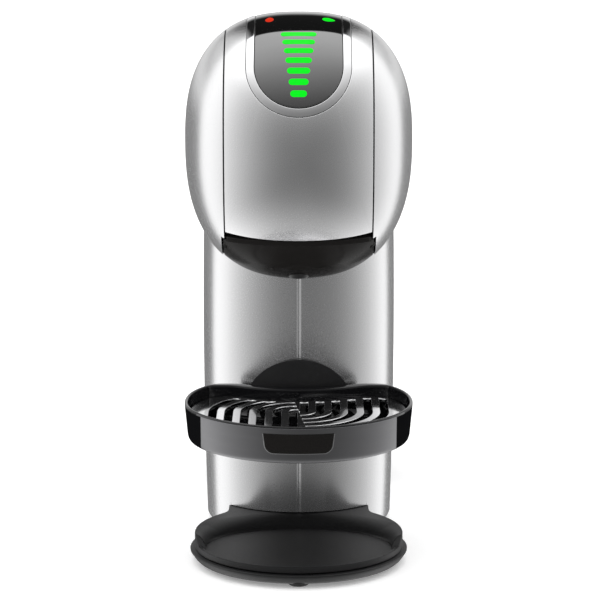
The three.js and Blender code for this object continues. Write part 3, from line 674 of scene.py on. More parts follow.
def make_side_shell(side):
    """The part of the head outside a seam. Its inner edge steps back beside the capsule drawer."""
    holder_rear = high("capsule_holder")[1]
    tip = math.acos(SIDE_START / HALF_WIDTH)
    stations = [(DOME_Y - DOME_DEPTH * math.sin(tip * math.sin(v)), math.cos(tip * math.sin(v)))
                for v in spread(math.pi / 2, 0, 48)]
    stations += [(y, 1.0) for y in spread(DOME_Y, holder_rear, 4)[1:]]
    stations += [(y, 1.0) for y in spread(holder_rear + 0.1, SHOULDER_Y, 28)]
    for v in spread(0, 1, 24)[1:]:
        scale = 1 - (1 - SIDE_START / HALF_WIDTH) * v ** REAR_EASE ** 2
        stations.append((SHOULDER_Y + (BACK_Y - SHOULDER_Y) * (1 - scale ** BACK_POWER) ** (1 / BACK_POWER), scale))
    rows = []
    for y, scale in stations:
        half = HALF_WIDTH * scale
        reach = HEAD_DOWN * scale
        start = SIDE_START
        edge_z = HEAD_Z - reach * (1 - min(1.0, start / half) ** LOW_POWER) ** (1 / LOW_POWER)
        if y <= holder_rear and edge_z < SHELL_STEP_Z:
            start = min(half, start + SHELL_STEP)
        limit = math.acos(min(1.0, (start / half) ** (LOW_POWER / 2)))
        row = []
        for angle in spread(limit, 0, 30):
            x, z = half * math.cos(angle) ** (2 / LOW_POWER), reach * math.sin(angle) ** (2 / LOW_POWER)
            row.append((side * x, y, HEAD_Z - z))
        reach = (HEAD_UP - head_drop(y)) * scale
        limit = math.acos(min(1.0, (SIDE_START / half) ** (TOP_POWER / 2)))
        for angle in spread(0, limit, 30)[1:]:
            x, z = half * math.cos(angle) ** (2 / TOP_POWER), reach * math.sin(angle) ** (2 / TOP_POWER)
            row.append((side * x, y, HEAD_Z + z))
        rows.append(row)
    name = "left" if side < 0 else "right"
    obj = sheet_mesh(f"head_side_{name}", rows, (side * 30, 0, 205))
    thicken(obj, inner_slot=1)
    return piece(obj, "housing", "silver", (SILVER, BLACK), f"head_shell_{name}")


def make_top_cover():
    start = QUARTER + COVER_FRONT - DOME_Y
    hole_s = QUARTER + 45.0 - DOME_Y
    middle = SHOULDER_S + 4
    counts = (44, 36, 44, 36)
    runs = (
        [(x, start) for x in spread(-VISOR_HALF, VISOR_HALF, 40)],
        [(VISOR_HALF, s) for s in spread(start, middle, 40)],
        [(x, middle) for x in spread(VISOR_HALF, -VISOR_HALF, 40)],
        [(-VISOR_HALF, s) for s in spread(middle, start, 40)],
    )
    outer = []
    for run, count in zip(runs, counts):
        outer += resample(run, count)
    total = sum(counts)
    hole = []
    for i in range(total):
        angle = math.radians(-135) + 2 * math.pi * i / total
        hole.append((8.4 * math.cos(angle), hole_s + 8.4 * math.sin(angle)))
    rows = between(head_point, hole, outer, 18)
    upper = sheet_mesh("top_cover_upper", rows, INSIDE_HEAD, closed=True)
    end = SHOULDER_S + 2 * REAR_LENGTH - 3
    xs = [point[0] for point in resample(runs[2], counts[2])] + [-VISOR_HALF]
    back_rows = [[head_point(x, s) for x in xs] for s in spread(middle, end, 70)]
    rear = sheet_mesh("top_cover_rear", back_rows, INSIDE_HEAD)
    obj = join_meshes("rear_top_cover", (upper, rear))
    merge_close(obj)
    thicken(obj, inner_slot=1)
    return piece(obj, "housing", "silver", (SILVER, BLACK), "top_cover")


def join_meshes(name, objects):
    """One object from several, made in mesh code so that no selection is needed."""
    work = bmesh.new()
    for obj in objects:
        work.from_mesh(obj.data)
        bpy.data.objects.remove(obj)
    mesh = bpy.data.meshes.new(name)
    work.to_mesh(mesh)
    work.free()
    result = bpy.data.objects.new(name, mesh)
    bpy.context.scene.collection.objects.link(result)
    return result


# ---- Column and rear cover ----

def column_half(z):
    return COLUMN_HALF - COLUMN_WAIST * (z - COLUMN_WAIST_Z) ** 2


def head_underside(x, y):
    """The height of the head's lower skin above (x, y), less a small gap."""
    scale = 1.0
    if y > SHOULDER_Y:
        along = min(1.0, (y - SHOULDER_Y) / (BACK_Y - SHOULDER_Y))
        scale = (1 - along ** BACK_POWER) ** (1 / BACK_POWER)
    if abs(x) >= HALF_WIDTH * scale:
        return COLUMN_TOP
    reach = HEAD_DOWN * scale * (1 - (abs(x) / (HALF_WIDTH * scale)) ** LOW_POWER) ** (1 / LOW_POWER)
    return min(COLUMN_TOP, HEAD_Z - reach - 0.35)


def column_stations():
    """(kind, place, groove depth) round the column: sides by y, the front by angle."""
    stations = [("left", y, 0.0) for y in spread(COLUMN_END, 0, 16)]
    seam = [(-0.62, 0.0), (-0.42, 0.5), (0.42, 0.5), (0.62, 0.0)]
    angles = []
    for degrees in spread(180, 268, 60)[1:]:
        angles.append((degrees, 0.0))
    for x, depth in seam:
        angles.append((270 + math.degrees(math.asin(x / COLUMN_HALF)), depth))
    for degrees in spread(272, 360, 60)[:-1]:
        angles.append((degrees, 0.0))
    notch = math.degrees(math.acos(NECK_HALF / COLUMN_HALF))
    for edge in (180 + notch, 360 - notch):
        angles += [(edge - 0.05, 0.0), (edge + 0.05, 0.0)]
    stations += [("front", degrees, depth) for degrees, depth in sorted(angles)]
    stations += [("right", y, 0.0) for y in spread(0, COLUMN_END, 16)]
    return stations


def column_place(kind, place, z, inset):
    half = column_half(z) - inset
    if kind == "front":
        angle = math.radians(place)
        return (half * math.cos(angle), (COLUMN_FRONT - inset) * math.sin(angle))
    return (-half if kind == "left" else half, place)


def make_column():
    stations = column_stations()
    edge = [(0.0, 2.0), (0.12, 1.35), (0.4, 0.8), (0.8, 0.4), (1.4, 0.1), (2.0, 0.0)]
    levels = [("edge", rise, inset) for rise, inset in edge] + [("part", t, 0.0) for t in spread(0, 1, 46)[1:]]
    rows = []
    for kind_of_level, value, inset in levels:
        row = []
        for kind, place, groove in stations:
            x, y = column_place(kind, place, COLUMN_WAIST_Z, 0)
            notch = abs(x) < NECK_HALF and kind == "front"
            bottom = DECK_Z + 0.3 if notch else COLUMN_BOTTOM
            z = bottom + value if kind_of_level == "edge" else lerp(bottom + 2.0, head_underside(x, y), value)
            px, py = column_place(kind, place, z, (0 if notch else inset) + groove)
            row.append((px, py, z))
        rows.append(row)
    obj = sheet_mesh("column", rows, (0, 40, 80))
    thicken(obj, WALL, 0.0, inner_slot=1)
    return piece(obj, "housing", "silver", (SILVER, BLACK), "column_shell")


def make_rear_cover():
    half = high("rear_cover")[0]
    start, end = low("rear_cover")[1], high("rear_cover")[1]
    corner = 6.0
    path = [(half, start)]
    path += [(half - corner + corner * math.cos(a), end - corner + corner * math.sin(a))
             for a in spread(0, math.pi / 2, 10)]
    path += [(x, end) for x in spread(half - corner, corner - half, 30)[1:-1]]
    path += [(corner - half + corner * math.cos(a), end - corner + corner * math.sin(a))
             for a in spread(math.pi / 2, math.pi, 10)]
    path.append((-half, start))
    rows = []
    for t in spread(0, 1, 40):
        rows.append([(x, y, lerp(low("rear_cover")[2], head_underside(x, y), t)) for x, y in path])
    obj = sheet_mesh("back_cover", rows, (0, 40, 80))
    thicken(obj, WALL, 0.3)
    return piece(obj, "housing", "black_plastic", (BLACK,), "rear_cover")


# ---- Base ----

def circle_ring(radius, z, segments=144, y=BASE_Y):
    return [(radius * math.cos(2 * math.pi * i / segments), y + radius * math.sin(2 * math.pi * i / segments), z)
            for i in range(segments)]


def plinth_outline(grow):
    """The base seen from above: the round front, the neck and the plinth under the column and tank."""
    neck, half, rear, corner = 36.0 + grow, 45.0 + grow, high("base_plate")[1] + grow, 22.0
    radius = BASE_RADIUS + grow
    start = math.degrees(math.acos(neck / radius))
    front = [(radius * math.cos(math.radians(d)), BASE_Y + radius * math.sin(math.radians(d)))
             for d in spread(start, -180 - start, 120)]
    half_front = [(neck, -24.0), (half, -6.0)]
    tail = [(half, rear - corner)]
    tail += [(half - corner + corner * math.cos(a), rear - corner + corner * math.sin(a))
             for a in spread(0, math.pi / 2, 12)[1:]]
    right = half_front + tail
    left = [(-x, y) for x, y in reversed(right)]
    return front + left + list(reversed(right))[0:0] + [(x, y) for x, y in reversed(right)]


def make_base_plate():
    bottom, top = low("base_plate")[2] - 2.1, high("base_plate")[2]
    levels = [(-4.4, bottom), (-3.6, bottom + 0.15), (-3.0, bottom + 0.6), (-2.2, bottom + 1.4),
              (-1.1, top - 2.0), (-0.3, top - 0.9), (-0.2, top - 0.3), (-0.7, top)]
    rings = [[(x, y, z) for x, y in plinth_outline(grow)] for grow, z in levels]
    obj = ring_body("base", rings)
    return piece(obj, "housing", "base_plastic", (BASE,), "base_plate")


SCOOP_Y, SCOOP_X, SCOOP_DEPTH = -97.0, 46.0, 35.0
SCOOP_WALL = 14.0
DISH_FLOOR, DISH_LIP = 9.1, 10.1
CUT_START, CUT_END = -91.0, -100.4
NECK_END = -22.0


def deck_reach(angle):
    """From the scoop's middle to the deck's edge: a disc, with a neck that runs in under the column."""
    across, along = math.cos(angle), math.sin(angle)
    shift = BASE_Y - SCOOP_Y
    disc = along * shift + math.sqrt(DISH_RADIUS ** 2 - (across * shift) ** 2)
    if along <= 0:
        return disc
    sides = (NECK_HALF - 0.3) / max(abs(across), 1e-6)
    return max(disc, min(sides, (NECK_END - SCOOP_Y) / along))


def deck_height(x, y, inner, outer, reach):
    """The deck at that reach from the scoop's middle, between the scoop's edge and the deck's."""
    if reach <= inner:
        return DISH_FLOOR
    t = min(1.0, (reach - inner) / min(outer - inner, SCOOP_WALL))
    wall = 0.5 * math.sin(t * math.pi / 2) + 0.5 * math.sqrt(1 - (1 - t) ** 2)
    full = DISH_FLOOR + (DECK_Z - DISH_FLOOR) * wall
    cut = lerp(DECK_Z, DISH_FLOOR, min(1.0, max(0.0, (CUT_START - y) / (CUT_START - CUT_END))))
    rim = min(1.0, max(0.0, (reach - outer + 2.6) / 0.9))
    lip = DISH_FLOOR + (DISH_LIP - DISH_FLOOR) * math.sin(rim * math.pi / 2)
    return max(min(full, cut), lip)


def make_dish():
    """The upper deck: a flat oval floor, a lip in front of it and a scooped wall behind it."""
    bottom = low("base_dish")[2]
    segments = 600
    angles = [2 * math.pi * i / segments for i in range(segments)]
    outer = [deck_reach(angle) for angle in angles]
    for _ in range(24):
        outer = [(outer[i - 1] + 2 * outer[i] + outer[(i + 1) % segments]) / 4 for i in range(segments)]
    inner = [1 / math.hypot(math.cos(a) / SCOOP_X, math.sin(a) / SCOOP_DEPTH) for a in angles]
    shares = spread(0.1, 1.0, 8) + [1 + 0.999 * v for v in spread(0, 1, 40)[1:-1]]

    def ring(reaches, height=None):
        row = []
        for angle, a, b, reach in zip(angles, inner, outer, reaches):
            x, y = reach * math.cos(angle), SCOOP_Y + reach * math.sin(angle)
            row.append((x, y, deck_height(x, y, a, b, reach) if height is None else height))
        return row

    rings = []
    for share in shares:
        rings.append(ring([a * share if share <= 1 else lerp(a, b - 0.4, (share - 1) / 0.999)
                           for a, b in zip(inner, outer)]))
    for inset, drop in ((0.4, 0.0), (0.12, 0.12), (0.0, 0.4)):
        edge = ring([b - inset for b in outer])
        top = ring([b - 0.41 for b in outer])
        rings.append([(x, y, z - drop) for (x, y, _), (_, _, z) in zip(edge, top)])
    rings.append(ring(outer, bottom + 0.5))
    rings.append(ring([b - 0.5 for b in outer], bottom))
    obj = ring_body("base_deck", rings)
    obj.data.set_sharp_from_angle(angle=math.radians(32))
    return piece(obj, "housing", "base_plastic", (BASE,), "base_dish")


def make_feet():
    for node in ("foot_front", "foot_left", "foot_right", "foot_rear_left", "foot_rear_right"):
        x, y = (low(node)[0] + high(node)[0]) / 2, (low(node)[1] + high(node)[1]) / 2
        radius, top = (high(node)[0] - low(node)[0]) / 2, high(node)[2]
        profile = [(radius - 2.2, 0.0), (radius - 1.5, 0.12), (radius - 1.0, 0.5), (radius - 0.4, 1.6),
                   (radius - 0.1, 2.2), (radius - 0.1, top)]
        obj = lathe(f"rubber_{node}", profile, x, y, 48)
        piece(obj, "housing", "rubber", (RUBBER,), node)


# ---- Drip tray ----

REAR_POWER = 2.3


def tray_outline(inset, back_inset=None):
    """A round tray cut straight at the back, with a bay that wraps the column."""
    back_inset = inset if back_inset is None else back_inset
    half, front = TRAY_HALF - inset, TRAY_FRONT - inset
    back, bay = TRAY_BACK - back_inset, TRAY_BAY + back_inset
    rear_angle = math.asin(((back - TRAY_Y) / half) ** (REAR_POWER / 2))
    bay_angle = math.acos(math.sqrt(bay ** 2 - back ** 2) / bay)
    points = [(half * math.cos(a), TRAY_Y + front * math.sin(a)) for a in spread(math.pi, 2 * math.pi, 120)]
    corner = [(half * math.cos(a) ** (2 / REAR_POWER), TRAY_Y + half * math.sin(a) ** (2 / REAR_POWER))
              for a in spread(0, rear_angle, 30)[1:]]
    points += corner
    corner_x = points[-1][0]
    bay_x = bay * math.cos(bay_angle)
    points += [(x, back) for x in spread(corner_x, bay_x, 8)[1:-1]]
    points += [(bay * math.cos(a), bay * math.sin(a))
               for a in spread(2 * math.pi - bay_angle, math.pi + bay_angle, 48)]
    points += [(x, back) for x in spread(-bay_x, -corner_x, 8)[1:-1]]
    points += [(-x, y) for x, y in reversed(corner)]
    for _ in range(8):
        count = len(points)
        points = [tuple((points[i - 1][k] + 2 * points[i][k] + points[(i + 1) % count][k]) / 4 for k in (0, 1))
                  for i in range(count)]
    return points


TRAY_SIDE = [(3.9, 0.0), (3.1, 0.12), (2.5, 0.5), (2.05, 1.2), (1.7, 2.4), (1.4, 5.0), (1.1, 8.5), (0.65, 13.0),
             (0.25, 17.3)]


def tray_inset(z):
    """The outside wall's inset at a height, between the points of TRAY_SIDE."""
    rise = z - TRAY_BOTTOM
    for (inset_a, rise_a), (inset_b, rise_b) in zip(TRAY_SIDE, TRAY_SIDE[1:]):
        if rise <= rise_b:
            return lerp(inset_a, inset_b, (rise - rise_a) / (rise_b - rise_a))
    return TRAY_SIDE[-1][0]


LEDGE = 3.2


def make_tray():
    profile = [(inset, inset, TRAY_BOTTOM + rise) for inset, rise in TRAY_SIDE]
    profile += [(0.25, 0.25, TRAY_RIM - 0.4), (0.5, 0.5, TRAY_RIM - 0.08), (0.85, 0.85, TRAY_RIM)]
    profile += [(1.2, 1.2 + LEDGE, TRAY_RIM), (1.55, 1.55 + LEDGE, TRAY_RIM - 0.08),
                (1.8, 1.8 + LEDGE, TRAY_RIM - 0.4), (1.9, 1.9 + LEDGE, TRAY_RIM - 1.2),
                (2.1, 2.1 + LEDGE, TRAY_RIM - 5), (2.6, 2.6 + LEDGE, TRAY_RIM - 11),
                (3.6, 3.6 + LEDGE, TRAY_RIM - 13.5), (5.5, 5.5 + LEDGE, TRAY_RIM - 15.2),
                (8.0, 8.0 + LEDGE, TRAY_RIM - 15.9)]
    rings = [[(x, y, z) for x, y in tray_outline(inset, back)] for inset, back, z in profile]
    obj = ring_body("tray", rings)
    # Painted shade: the tray's outer walls below the rim get the darker, non-mirroring copy of the gloss black.
    outside = TRAY_RIM * MM - 0.0004
    for polygon in obj.data.polygons:
        level = max(obj.data.vertices[i].co.z for i in polygon.vertices)
        away = (polygon.center.xy - Vector((0, TRAY_Y * MM))).dot(polygon.normal.xy) > 0
        polygon.material_index = 1 if away and level < outside else 0
    return piece(obj, "tray", "black_gloss", (GLOSS, SHADED_GLOSS), "drip_tray")


def make_band():
    half = high("tray_band")[0]
    bottom, top = low("tray_band")[2] - 0.6, high("tray_band")[2]
    rows = [[strip_point(x, z, 0.12) for x in spread(-half, half, 120)] for z in spread(bottom, top, 20)]
    obj = sheet_mesh("tray_front_band", rows, (0, -80, 72))
    thicken(obj, 0.5, 0.1)
    return piece(obj, "tray", "band", (BAND,), "tray_band")


def strip_point(x, z, proud):
    """A point on the tray's front wall, raised above it."""
    inset = tray_inset(z) - proud
    half, front = TRAY_HALF - inset, TRAY_FRONT - inset
    return (x, TRAY_Y - front * math.sqrt(1 - (x / half) ** 2), z)


def badge_rows(top_half, lean, z_top, z_bottom, corner, proud):
    """The badge's outline: straight sides that lean in downwards, and round lower corners."""
    rows = []
    for t in spread(0, 1, 28):
        z = lerp(z_bottom, z_top, t * t)
        half = top_half - lean * (z_top - z) / (z_top - z_bottom)
        rise = z - z_bottom
        if rise < corner:
            half -= corner - math.sqrt(corner ** 2 - (corner - rise) ** 2)
        rows.append([strip_point(x, z, proud) for x in spread(-half, half, 40)])
    return rows


def make_badge():
    """A blank plate in a thin frame that shows along its sides and lower edge."""
    half = high("tray_badge")[0]
    z_bottom, z_top = low("tray_badge")[2], high("tray_badge")[2]
    rim = 0.45
    rows = badge_rows(half + rim, 1.2, z_top, z_bottom - rim, 3.6 + rim, 0.2)
    frame_piece = sheet_mesh("badge_frame", rows, (0, -80, 72))
    thicken(frame_piece, 0.4, 0.08)
    piece(frame_piece, "tray", "band", (FRAME,))
    rows = badge_rows(half, 1.2, z_top + 0.2, z_bottom, 3.6, 0.42)
    plate = sheet_mesh("badge_plate", rows, (0, -80, 72))
    thicken(plate, 0.5, 0.12)
    return piece(plate, "tray", "black_plastic", (DRAWER,), "tray_badge")


def make_bracket():
    """The hook plate behind the tray: an arch bent round the column."""
    radius, centre_z = high("tray_bracket")[0], 66.5
    bottom = low("tray_bracket")[2]
    outer = COLUMN_FRONT + 2.4
    rows = []
    for t in spread(0, 1, 36):
        row = []
        for u in spread(-1, 1, 48):
            x = radius * math.sin(u * math.pi / 2)
            top = centre_z + math.sqrt(max(0.0, radius ** 2 - x ** 2))
            row.append((x, -math.sqrt(outer ** 2 - x ** 2), lerp(bottom, top, t)))
        rows.append(row)
    obj = sheet_mesh("hook_plate", rows, (0, 0, 80))
    thicken(obj, 1.9, 0.5)
    return piece(obj, "tray", "black_plastic", (BLACK,), "tray_bracket")


GRID_INSET, GRID_MARGIN = 2.9, 1.9
SLOT_WIDTH, SLOT_PITCH, SLOT_FIRST, SLOT_TURN, SLOT_COUNT = 4.15, 8.0, 2.7, -82.0, 6


def inside_outline(outline, point):
    x, y = point
    within = False
    for (x0, y0), (x1, y1) in zip(outline, outline[1:] + outline[:1]):
        if (y0 > y) != (y1 > y) and x < (x1 - x0) * (y - y0) / (y1 - y0) + x0:
            within = not within
    return within


def slot_edge(radius, mirrored):
    """One edge of a slot: straight from the front, then round the grid's middle."""
    path = [(-radius, y) for y in spread(-146, SLOT_TURN, 130)]
    path += [(radius * math.cos(a), SLOT_TURN + radius * math.sin(a))
             for a in spread(math.pi, math.radians(96), max(12, int(radius * 3)))[1:]]
    if mirrored:
        path = [(-x, 2 * SLOT_TURN - y) for x, y in path]
    return path


def slot_loops():
    field = tray_outline(GRID_INSET + GRID_MARGIN, GRID_INSET + GRID_MARGIN + LEDGE)
    loops = []
    for number in range(SLOT_COUNT):
        radius = SLOT_FIRST + SLOT_PITCH * number
        for mirrored in (False, True):
            edges = []
            for offset in (-SLOT_WIDTH / 2, SLOT_WIDTH / 2):
                edges.append([p for p in slot_edge(radius + offset, mirrored) if inside_outline(field, p)])
            if all(len(edge) > 3 for edge in edges):
                loops.append(edges[0] + edges[1][::-1])
    return loops


def make_grid():
    loops = [tray_outline(GRID_INSET, GRID_INSET + LEDGE)] + slot_loops()
    curve = bpy.data.curves.new("grid", "CURVE")
    curve.dimensions = "2D"
    curve.fill_mode = "BOTH"
    for loop in loops:
        spline = curve.splines.new("POLY")
        spline.points.add(len(loop) - 1)
        for point, (x, y) in zip(spline.points, loop):
            point.co = (x * MM, y * MM, 0, 1)
        spline.use_cyclic_u = True
    thickness = GRID_TOP - low("drip_grid")[2]
    curve.extrude = (thickness / 2 - 0.2) * MM
    curve.bevel_depth = 0.2 * MM
    curve.bevel_resolution = 2
    curve.offset = -0.2 * MM
    source = bpy.data.objects.new("grid_curve", curve)
    mesh = bpy.data.meshes.new_from_object(source)
    bpy.data.objects.remove(source)
    mesh.name = "grid_plate"
    for vertex in mesh.vertices:
        vertex.co.z += (GRID_TOP - thickness / 2) * MM
    obj = bpy.data.objects.new("grid_plate", mesh)
    bpy.context.scene.collection.objects.link(obj)
    mesh.materials.clear()
    merge_close(obj, 0.002)
    return piece(obj, "grid", "trim", (POLISHED,), "drip_grid")


# ---- Capsule holder ----

def make_holder():
    """The drawer: a curved black front and belly, a flat top with the capsule pocket, and the pocket's cup."""
    half, top = high("capsule_holder")[0], high("capsule_holder")[2] - 0.9
    rear = high("capsule_holder")[1]
    end = -QUARTER - (rear - DOME_Y)
    half += 0.7
    columns = spread(-half, half, 60)
    rows = []
    for t in spread(0, 1, 60):
        row = []
        for x in columns:
            point = lifted(head_point, x, lerp(s_at(x, top), end, t), -0.5)
            if point.z < SHELL_STEP_Z - 0.5:
                wide = x * (half + 1.4) / half
                point = lifted(head_point, wide, lerp(s_at(wide, top), end, t), -0.5)
            row.append(point)
        rows.append(row)
    skin = sheet_mesh("holder_skin", rows, (0, -60, 168))
    thicken_now(skin, 2.4)
    pocket_y = (low("outlet_nozzle")[1] + high("outlet_nozzle")[1]) / 2
    front_edge = [lifted(head_point, x, s_at(x, top), -0.8) for x in columns]
    outline = [(p[0], p[1]) for p in front_edge] + [(x, rear) for x in reversed(columns)]
    total = len(outline)
    start = math.atan2(outline[0][1] - pocket_y, outline[0][0])
    hole = [(23 * math.cos(start + 2 * math.pi * i / total), pocket_y + 23 * math.sin(start + 2 * math.pi * i / total))
            for i in range(total)]
    levels = ((hole, top - 2.2), (hole, top), (outline, top), (outline, top - 2.2), (hole, top - 2.2))
    rows = [[(x, y, z) for x, y in points] for points, z in levels]
    plate = sheet_mesh("holder_plate", rows, (0, -79, 160), closed=True)
    recalculate(plate)
    profile = [(23, 0), (22.4, -0.6), (14.5, -13.6), (13.2, -14.5), (8.3, -14.5), (8.3, -16.4), (14.5, -16.4),
               (16.5, -14), (24.4, -1), (24.4, 0)]
    rings = []
    for radius, drop in profile + [profile[0]]:
        rings.append([(x, y, top - 0.1 + drop) for x, y, _ in circle_ring(radius, 0, 72, pocket_y)])
    cup = sheet_mesh("holder_cup", rings, (0, pocket_y, 150), closed=True)
    recalculate(cup)
    obj = join_meshes("capsule_drawer", (skin, plate, cup))
    obj.data.polygons.foreach_set("use_smooth", [True] * len(obj.data.polygons))
    add_bevel(obj, 0.3, angle=50)
    return piece(obj, "drawer", "black_plastic", (DRAWER,), "capsule_holder")


def recalculate(obj):
    work = bmesh.new()
    work.from_mesh(obj.data)
    bmesh.ops.remove_doubles(work, verts=work.verts, dist=0.002 * MM)
    bmesh.ops.recalc_face_normals(work, faces=work.faces)
    work.to_mesh(obj.data)
    work.free()


def thicken_now(obj, thickness):
    """A solid wall made in the mesh itself, for pieces that are joined afterwards."""
    work = bmesh.new()
    work.from_mesh(obj.data)
    bmesh.ops.solidify(work, geom=work.faces[:], thickness=thickness * MM)
    work.to_mesh(obj.data)
    work.free()
    recalculate(obj)


def make_nozzle():
    node = "outlet_nozzle"
    x, y = 0.0, (low(node)[1] + high(node)[1]) / 2
    bottom, top, radius = low(node)[2], high(node)[2], high(node)[0]
    profile = [(3.0, bottom + 4), (3.0, bottom + 0.4), (3.4, bottom), (radius - 0.8, bottom),
               (radius - 0.2, bottom + 0.3), (radius, bottom + 0.9), (radius, top), (3.0, top)]
    rings = [circle_ring(r, z, 64, y) for r, z in profile + [profile[0]]]
    obj = sheet_mesh("outlet", rings, (x, y, bottom + 6), closed=True)
    recalculate(obj)
    return piece(obj, "drawer", "black_plastic", (BLACK,), node)


# ---- Water tank and button ----

def tank_outline(inset):
    half = high("tank_body")[0] - inset
    front, back = low("tank_body")[1] + inset, high("tank_body")[1] - inset
    corner = 26.0 - inset
    points = []
    for cx, cy, start in ((half - corner, back - corner, 0), (corner - half, back - corner, 90),
                          (corner - half, front + corner, 180), (half - corner, front + corner, 270)):
        for degrees in spread(start, start + 90, 20):
            angle = math.radians(degrees)
            points.append((cx + corner * math.cos(angle), cy + corner * math.sin(angle)))
    return points


def make_tank():
    bottom, top, wall = low("tank_body")[2], high("tank_body")[2], 2.2
    profile = [(3.0, bottom), (1.6, bottom + 0.2), (0.7, bottom + 0.8), (0.0, bottom + 2.6), (0.0, top - 8),
               (0.0, top - 0.4), (0.4, top), (wall - 0.4, top), (wall, top - 0.4), (wall, bottom + 5),
               (wall + 0.8, bottom + 3.4), (wall + 2.4, bottom + 2.6)]
    rings = [[(x, y, z) for x, y in tank_outline(inset)] for inset, z in profile]
    obj = ring_body("water_tank", rings)
    return piece(obj, "tank", "tank", (SMOKED,), "tank_body")


def make_lid():
    bottom, top = low("tank_lid")[2], high("tank_lid")[2] - 2
    profile = [(1.0, bottom), (0.2, bottom + 0.2), (0.0, bottom + 0.6), (0.0, top - 0.9), (0.3, top - 0.3),
               (1.0, top), (6.0, top + 0.5), (14.0, top + 1.0)]
    rings = [[(x, y, z) for x, y in tank_outline(inset)] for inset, z in profile]
    plate = ring_body("lid_plate", rings)
    grip_y = low("tank_lid")[1] + 6
    grip_rings = []
    for inset, z in ((0, top - 0.5), (0, top + 1.3), (0.5, top + 1.9), (1.2, top + 2.0)):
        ring = []
        for i in range(48):
            angle = 2 * math.pi * i / 48
            ring.append(((12 - inset) * math.copysign(abs(math.cos(angle)) ** 0.5, math.cos(angle)),
                         grip_y + (2 - inset) * math.sin(angle), z))
        grip_rings.append(ring)
    grip = ring_body("lid_grip", grip_rings)
    obj = join_meshes("tank_cover", (plate, grip))
    obj.data.polygons.foreach_set("use_smooth", [True] * len(obj.data.polygons))
    add_bevel(obj, 0.2, angle=50)
    return piece(obj, "lid", "black_plastic", (BLACK,), "tank_lid")


def make_button():
    """A dished round button that follows the slope of the cover."""
    y = 45.0
    base = HEAD_Z + half_height(0, y, True)
    slope = math.atan2(half_height(0, y, True) - half_height(0, y + 1, True), 1)
    profile = [(7.6, -6.0), (7.95, -5.6), (8.0, 0.1), (7.8, 0.6), (7.3, 0.8), (5.5, 0.55), (2.5, 0.2), (0.6, 0.12)]
    rings = []
    for radius, rise in profile:
        ring = []
        for i in range(72):
            angle = 2 * math.pi * i / 72
            u, v = radius * math.cos(angle), radius * math.sin(angle)
            ring.append((u, y + v * math.cos(slope) + rise * math.sin(slope),
                         base - v * math.sin(slope) + rise * math.cos(slope)))
        rings.append(ring)
    obj = ring_body("on_button", rings)
    return piece(obj, "button", "black_gloss", (GLOSS,), "power_button")


# ---- CAD nodes that keep their shape ----

KEPT = {
    "head_frame": (BLACK, 0.4), "hinge_pin": (STEEL, 0.2), "rear_chassis": (BLACK, 0.5), "cord_gland": (RUBBER, 0.5),
    "tank_seat": (BLACK, 0.6), "thermoblock": (ALUMINIUM, 0.8), "pump_body": (WHITE, 0.4),
    "pump_coil": (COPPER, 0.8), "flow_meter": (WHITE, 0.4), "control_board": (BOARD, 0.15),
    "needle_plate": (WHITE, 0.3), "needle": (STEEL, 0.05), "panel_board": (BOARD, 0.1),
    "hose_tank": (SILICONE, 0.0), "hose_pump": (SILICONE, 0.0), "hose_heater": (SILICONE, 0.0),
    "hose_needle": (SILICONE, 0.0), "tank_valve": (WHITE, 0.4),
}


def finish_kept_nodes():
    for node, (material, bevel) in KEPT.items():
        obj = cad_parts[node]
        for slot in obj.material_slots:
            slot.material = material
        if bevel:
            add_bevel(obj, bevel, 2, 40)


# ---- Studio ----

BACKDROP_TURN, BACKDROP_RISE, BACKDROP_RADIUS = 184, 5.5, 52.5

def make_camera():
    data = bpy.data.cameras.new("camera")
    data.sensor_width = 36.0
    data.lens = 151.56
    camera = bpy.data.objects.new("camera", data)
    camera.location = (0.00065, -1.309, 0.352)
    camera.rotation_euler = (math.radians(79.8), 0, 0)
    bpy.context.scene.collection.objects.link(camera)
    bpy.context.scene.camera = camera


def make_floor():
    size = 6.0
    mesh = bpy.data.meshes.new("floor")
    mesh.from_pydata([(-size, -size, 0), (size, -size, 0), (size, size, 0), (-size, size, 0)], [], [(0, 1, 2, 3)])
    floor = bpy.data.objects.new("floor", mesh)
    bpy.context.scene.collection.objects.link(floor)
    floor.location.z = -0.0002
    material, nodes, links, shader = new_material("floor")
    vector = coordinates(nodes, links)
    tone = noise(nodes, links, vector, 3.0)
    links.new(tinted(nodes, links, tone, (0.93, 0.93, 0.93), (0.95, 0.95, 0.95)), shader.inputs["Base Color"])
    set_shader(shader, Roughness=0.8, Specular_IOR_Level=0.0, Emission_Color=(1, 1, 1, 1), Emission_Strength=0.25)
    mesh.materials.append(material)
    floor.visible_glossy = False


def direction(azimuth, elevation):
    """A unit vector: azimuth 0 is the user's side, +90 the right, 180 the rear."""
    turn, rise = math.radians(azimuth), math.radians(elevation)
    return (math.sin(turn) * math.cos(rise), -math.cos(turn) * math.cos(rise), math.sin(rise))


def map_range(nodes, links, value, start, end, low_value, high_value):
    node = nodes.new("ShaderNodeMapRange")
    node.interpolation_type = "SMOOTHSTEP"
    node.inputs["From Min"].default_value = start
    node.inputs["From Max"].default_value = end
    node.inputs["To Min"].default_value = low_value
    node.inputs["To Max"].default_value = high_value
    links.new(value, node.inputs["Value"])
    return node.outputs["Result"]


def dot_with(nodes, links, vector, axis):
    node = nodes.new("ShaderNodeVectorMath")
    node.operation = "DOT_PRODUCT"
    node.inputs[1].default_value = axis
    links.new(vector, node.inputs[0])
    return node.outputs["Value"]


def math_node(nodes, links, operation, first, second):
    node = nodes.new("ShaderNodeMath")
    node.operation = operation
    for index, value in enumerate((first, second)):
        if isinstance(value, (int, float)):
            node.inputs[index].default_value = value
        elif value is not None:
            links.new(value, node.inputs[index])
    return node.outputs["Value"]


